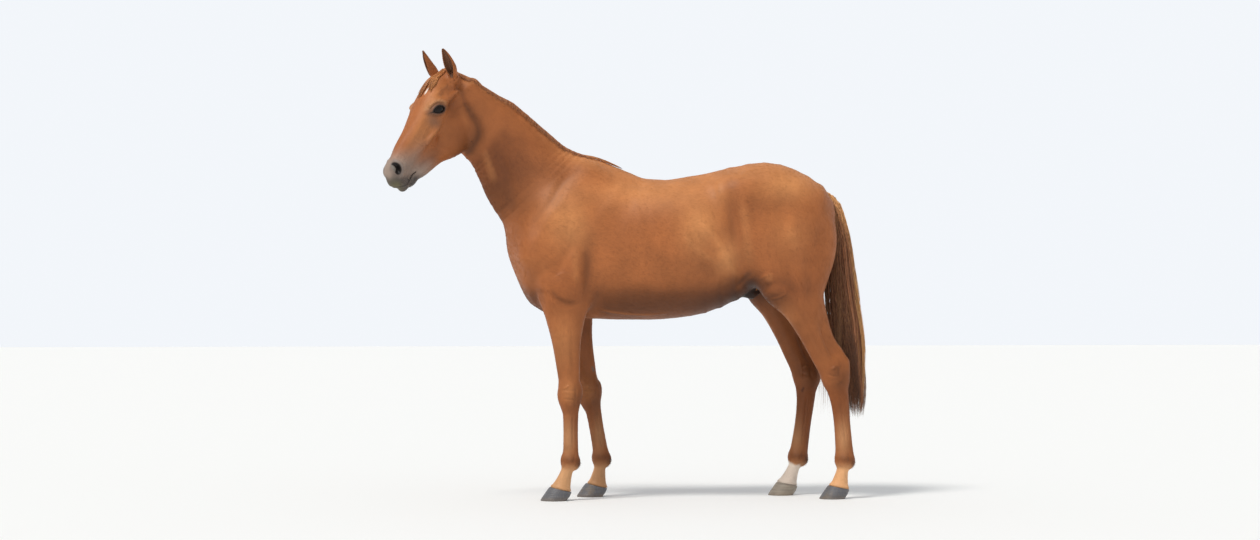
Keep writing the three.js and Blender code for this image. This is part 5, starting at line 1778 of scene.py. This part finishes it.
def behind_fetlock(g, p, n):
    """1 on the back of a leg's fetlock, where the coat is longer."""
    return smoothstep(n[:, 0], 0.2, 0.8) * smoothstep(-np.abs(p[:, 2] - g.fetlock[2] + 18), -50, -10)


def at_coronet(p):
    """1 at the coat's lower rim, above the hooves."""
    return smoothstep(-p[:, 2], -90, -66)


for word, side in (("left", LEFT), ("right", RIGHT)):
    make_tufts(
        "coat_trunk_" + word, 36000,
        lambda p, n, s=side: away_from_bare(p) * is_trunk(p, n) * (p[:, 1] * s > 0), 11 + side,
        steady(14), steady(1.4), steady(3.4), half_round(TRUNK_AXIS, UP, side),
    )
    make_tufts(
        "coat_neck_" + word, 13000, lambda p, n, s=side: is_neck(p, n) * (p[:, 1] * s > 0) * 1.0, 21 + side,
        steady(13), steady(1.3), steady(3.4), half_round(NECK_AXIS, v3(0.7, 0, 0.7), side),
    )
make_tufts(
    "coat_head", 34000,
    lambda p, n: away_from_bare(p) * (on_head(p) > 0.3) * ~on_ear(p) * ~at_ear_root(p), 31,
    steady(6.5), steady(0.8), steady(3.6), lambda p: wrap(HEAD_AXIS, HEAD_V, p),
)
for k, (word, g) in enumerate(LEGS.items()):
    axis = [g.top + v3(0, 0, 60), g.knee, g.fetlock, g.coronet]

    def on_leg(p, n, g=g):
        own = (p[:, 2] <= 800) & (p[:, 1] * g.side > 0) & (np.abs(p[:, 0] - g.knee[0]) < 330)
        return away_from_bare(p) * own * ((p[:, 0] < 250) != g.hind)

    def leg_length(p, n, g=g):
        return 8.5 + 6 * behind_fetlock(g, p, n) + 2 * at_coronet(p)

    def leg_lift(p, n, g=g):
        return 4 + 9 * behind_fetlock(g, p, n) + 2 * at_coronet(p)

    make_tufts(
        "coat_leg_" + word, 13000, on_leg, 41 + k, leg_length, steady(1.0), leg_lift,
        lambda p, axis=axis: wrap(axis, FORWARD, p),
    )


def ear_unwrap(p):
    w = in_head(p)[2]
    along = np.zeros(len(p))
    turn = np.zeros(len(p))
    for k, side in enumerate((LEFT, RIGHT)):
        base, middle, tip = ear_line(side)
        own = w * side > 0
        t, a = wrap([base, middle, tip], HEAD_U, p)
        off = p - (base + np.clip(t, 0, 1)[:, None] * (tip - base))
        along = np.where(own, (np.clip(t, 0, 1) * 0.48 + 0.5 * k), along)
        turn = np.where(own, a * 0.5 + 0.5 * (np.linalg.norm(off, axis=1) > 24), turn)
    return along, turn


def ear_length(p, n):
    return 6 - 1.5 * ear_masks(p)[0]


def ear_lift(p, n):
    return 4 + 2 * ear_masks(p)[0]


def ear_cover(p, n):
    """Everywhere on the ears but deep in their hollows."""
    share, gap = ear_place(p)
    return on_ear(p) * ~((gap < -1.2) & (share < 0.4)) * (share > 0.26)


make_tufts("coat_ears", 12000, ear_cover, 51, ear_length, steady(0.9), ear_lift, ear_unwrap)


# ------------------------------------------------------------------ long hair


def ribbons(paths, widths):
    """Closed three-sided strands along paths: (vertices, triangles, vertices in a strand)."""
    count, steps, _ = paths.shape
    tangent = unit(np.gradient(paths, axis=1))
    side = unit(np.cross(tangent, np.array([0.31, 0.9, 0.3])))
    other = np.cross(tangent, side)
    rings = []
    for k in range(3):
        a = 2 * np.pi * k / 3
        rings.append(paths + widths[:, :, None] * (side * math.cos(a) + other * math.sin(a) * 0.6) / 2)
    body = np.stack(rings, 2)[:, :-1].reshape(count, -1, 3)
    verts = np.concatenate([body, paths[:, -1:]], 1)
    each = verts.shape[1]
    faces = [[0, 2, 1]]
    for s in range(steps - 2):
        for k in range(3):
            a, b = 3 * s + k, 3 * s + (k + 1) % 3
            faces += [[a, b, b + 3], [a, b + 3, a + 3]]
    last = 3 * (steps - 2)
    faces += [[last + k, last + (k + 1) % 3, each - 1] for k in range(3)]
    base = each * np.arange(count)[:, None, None]
    return verts.reshape(-1, 3), (base + np.array(faces)).reshape(-1, 3), each


def make_hair(name, paths, widths, colours, root_uv, node, fade=0.0):
    """Strands as one piece, with one tone for each strand, which `fade` darkens towards its tip."""
    verts, tris, each = ribbons(paths, widths)
    me = tri_mesh(name, verts, tris)
    dim = 1 - fade * np.minimum(np.arange(each) // 3 / (paths.shape[1] - 1), 1)
    colours = np.clip(np.repeat(colours, each, axis=0) * np.tile(dim, len(paths))[:, None], 0, 1)
    return finish_piece(name, me, colours, each, np.clip(root_uv, 0.003, 0.997), HAIR, node)


def taper(steps, thick):
    """Strand widths from root to tip."""
    root, tip = 0.7, 0.25  # shares of the full width
    t = np.linspace(0, 1, steps)
    form = np.minimum(root + 3 * t, 1) * (1 - (1 - tip) * smoothstep(t, 0.55, 1.0))
    return np.asarray(thick)[:, None] * form


TAIL_AXIS = [
    v3(890, 0, 1503), v3(950, 0, 1480), v3(1000, 0, 1443), v3(1025, 0, 1362), v3(1044, 0, 1256),
    v3(1057, 0, 1075), v3(1077, 0, 880), v3(1095, 0, 740), v3(1110, 0, 560), v3(1112, 0, 372),
]
TAIL_AT = [0, 0.08, 0.16, 0.3, 0.5, 0.75, 0.92, 1]
TAIL_FRONT = [24, 36, 52, 78, 104, 98, 70, 44]
TAIL_BACK = [18, 28, 38, 50, 60, 58, 50, 34]
TAIL_SIDE = [26, 38, 48, 58, 70, 76, 66, 44]
TAIL_LIGHT, TAIL_RED = srgb(250, 186, 120), srgb(188, 124, 84)
# TAIL_DARK and TAIL_INSIDE are painted shade for the strands deep in the tail and on its side towards the rump
TAIL_DARK, TAIL_INSIDE = srgb(126, 78, 52), srgb(64, 38, 26)


def tail_place(t, angle, reach):
    """A place in the tail at share t down it, at an angle from the back, out to `reach` of its radius."""
    c, way = spline(TAIL_AXIS, t)
    back = unit(v3(1, 0, 0.3) - way * (way @ v3(1, 0, 0.3))[:, None])
    across = np.cross(way, back)
    cos, sin = np.cos(angle), np.sin(angle)
    deep = np.where(cos > 0, hermite(TAIL_AT, TAIL_BACK, t), hermite(TAIL_AT, TAIL_FRONT, t))
    wide = hermite(TAIL_AT, TAIL_SIDE, t)
    return c + (reach * deep * cos)[:, None] * back + (reach * wide * sin)[:, None] * across


def make_tail():
    rng = np.random.default_rng(61)
    locks, each, steps = 112, 20, 14
    paths, widths, tones, uvs = [], [], [], []
    for k in range(locks):
        angle = rng.uniform(-np.pi, np.pi)
        reach = math.sqrt(rng.uniform(0.10, 1.0)) * 0.96
        start = rng.uniform(0.0, 0.30) if reach > 0.6 else rng.uniform(0.08, 0.36)
        end = rng.uniform(0.93, 1.0) if rng.random() < 0.85 else rng.uniform(0.7, 0.93)
        wave, phase, quick = rng.uniform(4, 12), rng.uniform(0, 6.3), rng.uniform(7, 14)
        drift = rng.normal(0, 0.5)
        shade = rng.normal(1, 0.16)
        for _ in range(each):
            t = np.linspace(start, end - abs(rng.normal(0, 0.02)), steps)
            s = (t - start) / (end - start)
            spread = 0.34 * (1 - 0.8 * s)
            a = angle + rng.normal(0, 1) * spread + drift * s
            r = reach + rng.normal(0, 1) * spread * 0.3
            r = np.clip(np.minimum(r, 0.9 + 3.2 * s), 0.05, 1.0) * np.ones(steps)
            place = tail_place(t, a * np.ones(steps), r)
            sway = wave * smoothstep(s, 0.1, 0.7) + rng.normal(0, 1.2)
            place[:, 0] += sway * np.sin(quick * s + phase)
            place[:, 1] += sway * np.cos(quick * 0.9 * s + phase * 1.7)
            paths.append(place)
            widths.append(rng.uniform(1.4, 2.6))
            high = float(smoothstep(0.2 - start, 0, 0.14)) * (reach > 0.5)
            tone = TAIL_RED + (TAIL_LIGHT - TAIL_RED) * high * (0.4 + 0.6 * (math.cos(angle) > 0.2))
            # painted shade: the deeper a strand lies in the tail the darker it is laid, and the strands on the
            # side towards the rump darker still
            tone = tone + (TAIL_DARK - tone) * (0.15 + 0.8 * (1 - reach))
            if math.cos(angle) < -0.4:
                tone = tone + (TAIL_INSIDE - tone) * 0.5
            tones.append(tone * shade * rng.normal(1, 0.12))
            turn = (angle / (2 * np.pi)) % 1.0
            uvs.append((turn * 0.96 + rng.uniform(0, 0.03), start * 2.2 + rng.uniform(0, 0.1)))
    # loose hairs: most hang between the hind legs, the rest stray behind
    loose, inner = 110, 70
    for k in range(loose):
        s = np.linspace(0, 1, steps)
        between_legs = k < inner
        foot_x = rng.uniform(930, 985) if between_legs else rng.uniform(1080, 1150)
        foot_z = rng.uniform(385, 560) if between_legs else rng.uniform(372, 480)
        y = rng.uniform(-40, 40)
        if between_legs:
            start = v3(1030, 0.5 * y, rng.uniform(1000, 1150))
        else:
            start = v3(1090, y, rng.uniform(800, 1100))
        reach = smoothstep(s, 0.0, 0.75)
        x = start[0] + (foot_x - start[0]) * reach + 3 * np.sin(8 * s + k)
        z = start[2] + (foot_z - start[2]) * s
        paths.append(np.column_stack([x, start[1] + (y - start[1]) * s + 4 * np.sin(6 * s + 2 * k), z]))
        widths.append(rng.uniform(0.9, 1.5))
        tones.append(TAIL_RED * rng.normal(1, 0.1))
        uvs.append((rng.random(), 0.95))
    paths = np.array(paths)
    make_hair("tail_hair", paths, taper(steps, widths), np.array(tones), np.array(uvs), ("tail",), fade=0.4)


CREST = [
    v3(-866, -30, 2080), v3(-812, -24, 2052), v3(-745, -14, 2012), v3(-660, -4, 1954),
    v3(-560, 6, 1886), v3(-470, 12, 1818), v3(-380, 14, 1748), v3(-300, 12, 1694),
    v3(-240, 8, 1664), v3(-150, 2, 1640), v3(-80, 0, 1610), v3(-30, 0, 1578),
]
MANE_LIGHT, MANE_RED = srgb(196, 134, 86), srgb(150, 88, 52)


def on_surface(p, rounds, height):
    """Moves places to the body's outline, `height` outside it."""
    p = p.copy()
    for _ in range(rounds):
        d = flesh(p)
        e = 2.0
        slope = np.stack([flesh(p + e * axis) - d for axis in np.eye(3)], 1) / e
        p -= (d - height)[:, None] * unit(slope)
    return p


def make_mane():
    rng = np.random.default_rng(71)
    count, steps = 2600, 9
    t = np.sort(rng.uniform(0.02, 0.815, count))
    root, way = spline(CREST, t)
    root = root + np.column_stack([np.zeros(count), rng.normal(0, 7, count), np.zeros(count)])
    up = unit(v3(0.6, 0, 0.8) - way * (way @ v3(0.6, 0, 0.8))[:, None])
    root = on_surface(root, 3, -1.5)
    long = hermite([0, 0.08, 0.3, 0.6, 0.8], [36, 50, 66, 72, 64], t) * rng.uniform(0.55, 1.2, count)
    lock = np.floor(t * 150)
    lean = 0.6 + 0.2 * np.sin(lock * 2.3) + rng.normal(0, 0.14, count)
    s = np.linspace(0, 1, steps)
    near_side = np.where(rng.random(count) < 0.86, LEFT, RIGHT)
    down = np.cross(way, up)
    down[down[:, 1] * near_side < 0] *= -1
    paths = np.empty((count, steps, 3))
    for k, share in enumerate(s):
        go = up * (0.30 * (1 - share) ** 2 - 0.75 * share) + unit(down) * 0.8 + way * lean[:, None] * 0.6
        paths[:, k] = root if k == 0 else paths[:, k - 1] + unit(go) * (long / (steps - 1))[:, None]
    flat = paths.reshape(-1, 3)
    d = flesh(flat)
    lifted = on_surface(flat, 2, 1.5)
    height = 1.5 + rng.uniform(0, 5, count)[:, None] * np.ones(steps)
    inside = d < height.ravel()
    flat[inside] = lifted[inside]
    paths = flat.reshape(count, steps, 3)
    shade = (1 + 0.13 * np.sin(lock * 5.1) + rng.normal(0, 0.08, count))[:, None]
    tones = (MANE_RED + (MANE_LIGHT - MANE_RED) * (0.35 + 0.35 * np.sin(lock * 3.7))[:, None]) * shade
    uv = np.column_stack([t * 1.2, rng.uniform(0.02, 0.98, count)])
    widths = taper(steps, rng.uniform(1.2, 2.1, count))
    extra = wither_lock(rng, steps)
    paths = np.concatenate([paths, extra[0]])
    widths = np.concatenate([widths, taper(steps, extra[1])])
    tones = np.concatenate([tones, extra[2]])
    uv = np.concatenate([uv, extra[3]])
    make_hair("mane_hair", paths, widths, tones, uv, ("mane",))


def wither_lock(rng, steps):
    """The lock left long over the withers, lying back, and the one behind the ears."""
    paths, widths, tones, uvs = [], [], [], []
    s = np.linspace(0, 1, steps)
    for first, last, count, lift in ((0.76, 0.986, 300, 9), (0.02, 0.17, 200, 6)):
        for _ in range(count):
            begin = first + 0.04 * rng.random()
            t = np.linspace(begin, last - 0.09 * rng.random(), steps)
            c, _ = spline(CREST, t)
            spread = rng.normal(0, 1)
            c[:, 1] += LEFT * (6 + 5 * s) + 8 * spread * (1 - 0.3 * s)
            height = 0.5 + lift * np.sin(s * np.pi * 0.8) * rng.uniform(0.0, 1.0)
            paths.append((c, height))
            widths.append(rng.uniform(1.3, 2.2))
            tones.append((MANE_LIGHT if rng.random() < 0.7 else MANE_RED) * rng.normal(1, 0.1))
            uvs.append((0.97 * rng.random() + 0.01, 0.985))
    flat = np.concatenate([c for c, _ in paths])
    heights = np.concatenate([h for _, h in paths])
    flat = on_surface(flat, 3, 0) + heights[:, None] * unit(np.array([0.25, 0, 0.97]))
    return flat.reshape(-1, steps, 3), widths, np.array(tones), np.array(uvs)


def make_forelock():
    rng = np.random.default_rng(81)
    count, steps = 620, 12
    paths = np.empty((count, steps, 3))
    tones = np.empty((count, 3))
    # each lock is (where across its root lies, how far down the face it ends, where across it ends)
    locks = [
        (14, 190, 32), (10, 216, 20), (4, 226, 3), (-2, 212, -8),
        (-10, 170, -34), (-15, 178, -43), (-20, 182, -54), (-24, 148, -66),
    ]
    for k in range(count):
        lock = rng.integers(len(locks))
        root_w, end_u, end_w = locks[lock]
        end_u *= rng.uniform(0.88, 1.12)
        w0 = root_w + rng.normal(0, 4)
        u0 = rng.uniform(18, 42)
        s = np.linspace(0, 1, steps)
        u = u0 + (end_u - u0) * s
        w = w0 + (end_w + rng.normal(0, 2.6) - w0) * (0.35 * s + 0.65 * s * s)
        w += 2.5 * np.sin(4 * s + lock * 1.3)
        paths[k] = head_point(0, 78) + u[:, None] * HEAD_U + w[:, None] * HEAD_W
        tones[k] = srgb(214, 146, 86) + (srgb(160, 98, 54) - srgb(214, 146, 86)) * rng.random()
        tones[k] *= 1 + 0.14 * math.sin(lock * 2.1)
    flat = on_surface(paths.reshape(-1, 3), 4, 0).reshape(count, steps, 3)
    s = np.linspace(0, 1, steps)
    rise = 1.5 + rng.uniform(0, 1, (count, 1)) * (2 + 7 * np.sin(s * np.pi) ** 0.8) + 1.5 * s
    flat = flat + rise[:, :, None] * HEAD_V
    uv = np.column_stack([rng.random(count), rng.random(count)])
    make_hair("forelock_hair", flat, taper(steps, rng.uniform(1.2, 2.2, count)), tones, uv, ("forelock",))


def make_lashes():
    """Eyelashes, and the fine whiskers of the muzzle."""
    rng = np.random.default_rng(91)
    steps = 6
    s = np.linspace(0, 1, steps)
    paths, widths, tones = [], [], []
    for side in (LEFT, RIGHT):
        e1, e2, e3 = eye_axes(side)
        middle = head_point(*EYE_MIDDLE, 0)
        for a in np.linspace(-22, 24, 40):
            b = EYE_REACH["up"] * (1 - (a / 30) ** 2) ** 0.67 + 0.5
            c = eyeball_front(np.array([a]), np.array([b]))[0] + LID + 0.5
            lean = 0.25 * a / 30 + rng.normal(0, 0.08)
            out = unit(e3 * 1.0 + e2 * 0.15 + e1 * lean)
            long = rng.uniform(8, 12)
            place = middle + a * e1 + b * e2 + c * e3
            path = place + (s * long)[:, None] * out - (s**2 * long * 0.35)[:, None] * e2
            paths.append(path)
            widths.append(0.45)
            tones.append(srgb(60, 40, 30))
        for _ in range(60):
            u, v = rng.uniform(590, 668), rng.uniform(-95, -20)
            start = on_surface(np.array([head_point(u, v, 60 * side)]), 5, 0)[0]
            out = unit(e3 + HEAD_U * 0.5 - HEAD_V * rng.uniform(0.1, 0.9))
            long = rng.uniform(8, 22)
            paths.append(start + (s * long)[:, None] * out + (s**2 * long * 0.2)[:, None] * -UP)
            widths.append(0.45)
            tones.append(srgb(150, 132, 116))
    paths = np.array(paths)
    uv = np.column_stack([rng.random(len(paths)), rng.random(len(paths))])
    make_hair("lashes_and_whiskers", paths, taper(steps, widths), np.array(tones), uv, ())


make_tail()
make_mane()
make_forelock()
make_lashes()


# ------------------------------------------------------------------ camera, floor and light

cam = bpy.data.objects.new("camera", bpy.data.cameras.new("camera"))
bpy.context.scene.collection.objects.link(cam)
CAMERA_AWAY, CAMERA_HEIGHT = 14, 1.0
AIM = (0.015, 0, 1.112)
yaw = math.radians(6)
cam.location = (AIM[0] - CAMERA_AWAY * math.sin(yaw), -CAMERA_AWAY * math.cos(yaw), CAMERA_HEIGHT)
aim = Vector(AIM) - cam.location
cam.rotation_mode = "QUATERNION"
cam.rotation_quaternion = aim.to_track_quat("-Z", "Y")
cam.data.lens, cam.data.sensor_width = 82, 36
bpy.context.scene.camera = cam

floor = bpy.data.meshes.new("floor")
REACH = 40
corners = [(-REACH, -REACH, 0), (REACH, -REACH, 0), (REACH, REACH, 0), (-REACH, REACH, 0)]
floor.from_pydata(corners, [], [(0, 1, 2, 3)])
floor = new_object("floor", floor)
plain = Nodes("floor")
plain.set(plain.shader.inputs["Base Color"], (0.88, 0.88, 0.86, 1))
plain.set(plain.shader.inputs["Roughness"], 0.8)
dress(floor, plain.material)


def sky():
    """Bright near the horizon, softer overhead."""
    world = bpy.data.worlds.new("world")
    bpy.context.scene.world = world
    world.use_nodes = True
    tree = world.node_tree
    where = tree.nodes.new("ShaderNodeTexCoord")
    parts = tree.nodes.new("ShaderNodeSeparateXYZ")
    fit = tree.nodes.new("ShaderNodeMapRange")
    fit.interpolation_type = "SMOOTHSTEP"
    tree.links.new(where.outputs["Generated"], parts.inputs[0])
    tree.links.new(parts.outputs["Z"], fit.inputs["Value"])
    for name, value in (("From Min", 0.12), ("From Max", 0.5), ("To Min", 0.96), ("To Max", 0.62)):
        fit.inputs[name].default_value = value
    background = tree.nodes["Background"]
    background.inputs["Color"].default_value = (0.93, 0.96, 1.0, 1)
    tree.links.new(fit.outputs[0], background.inputs["Strength"])
    bpy.context.scene.view_settings.view_transform = "Standard"


def sun(name, place, spread, power, colour):
    """A broad soft light from afar."""
    d = bpy.data.lights.new(name, "SUN")
    d.angle, d.energy, d.color = math.radians(spread), power, colour
    o = bpy.data.objects.new(name, d)
    o.location = place
    o.rotation_mode = "QUATERNION"
    o.rotation_quaternion = (-Vector(place)).to_track_quat("-Z", "Y")
    bpy.context.scene.collection.objects.link(o)


sky()
sun("key", (-4.0, -3.6, 8.5), 16, 1.85, (1, 0.97, 0.93))
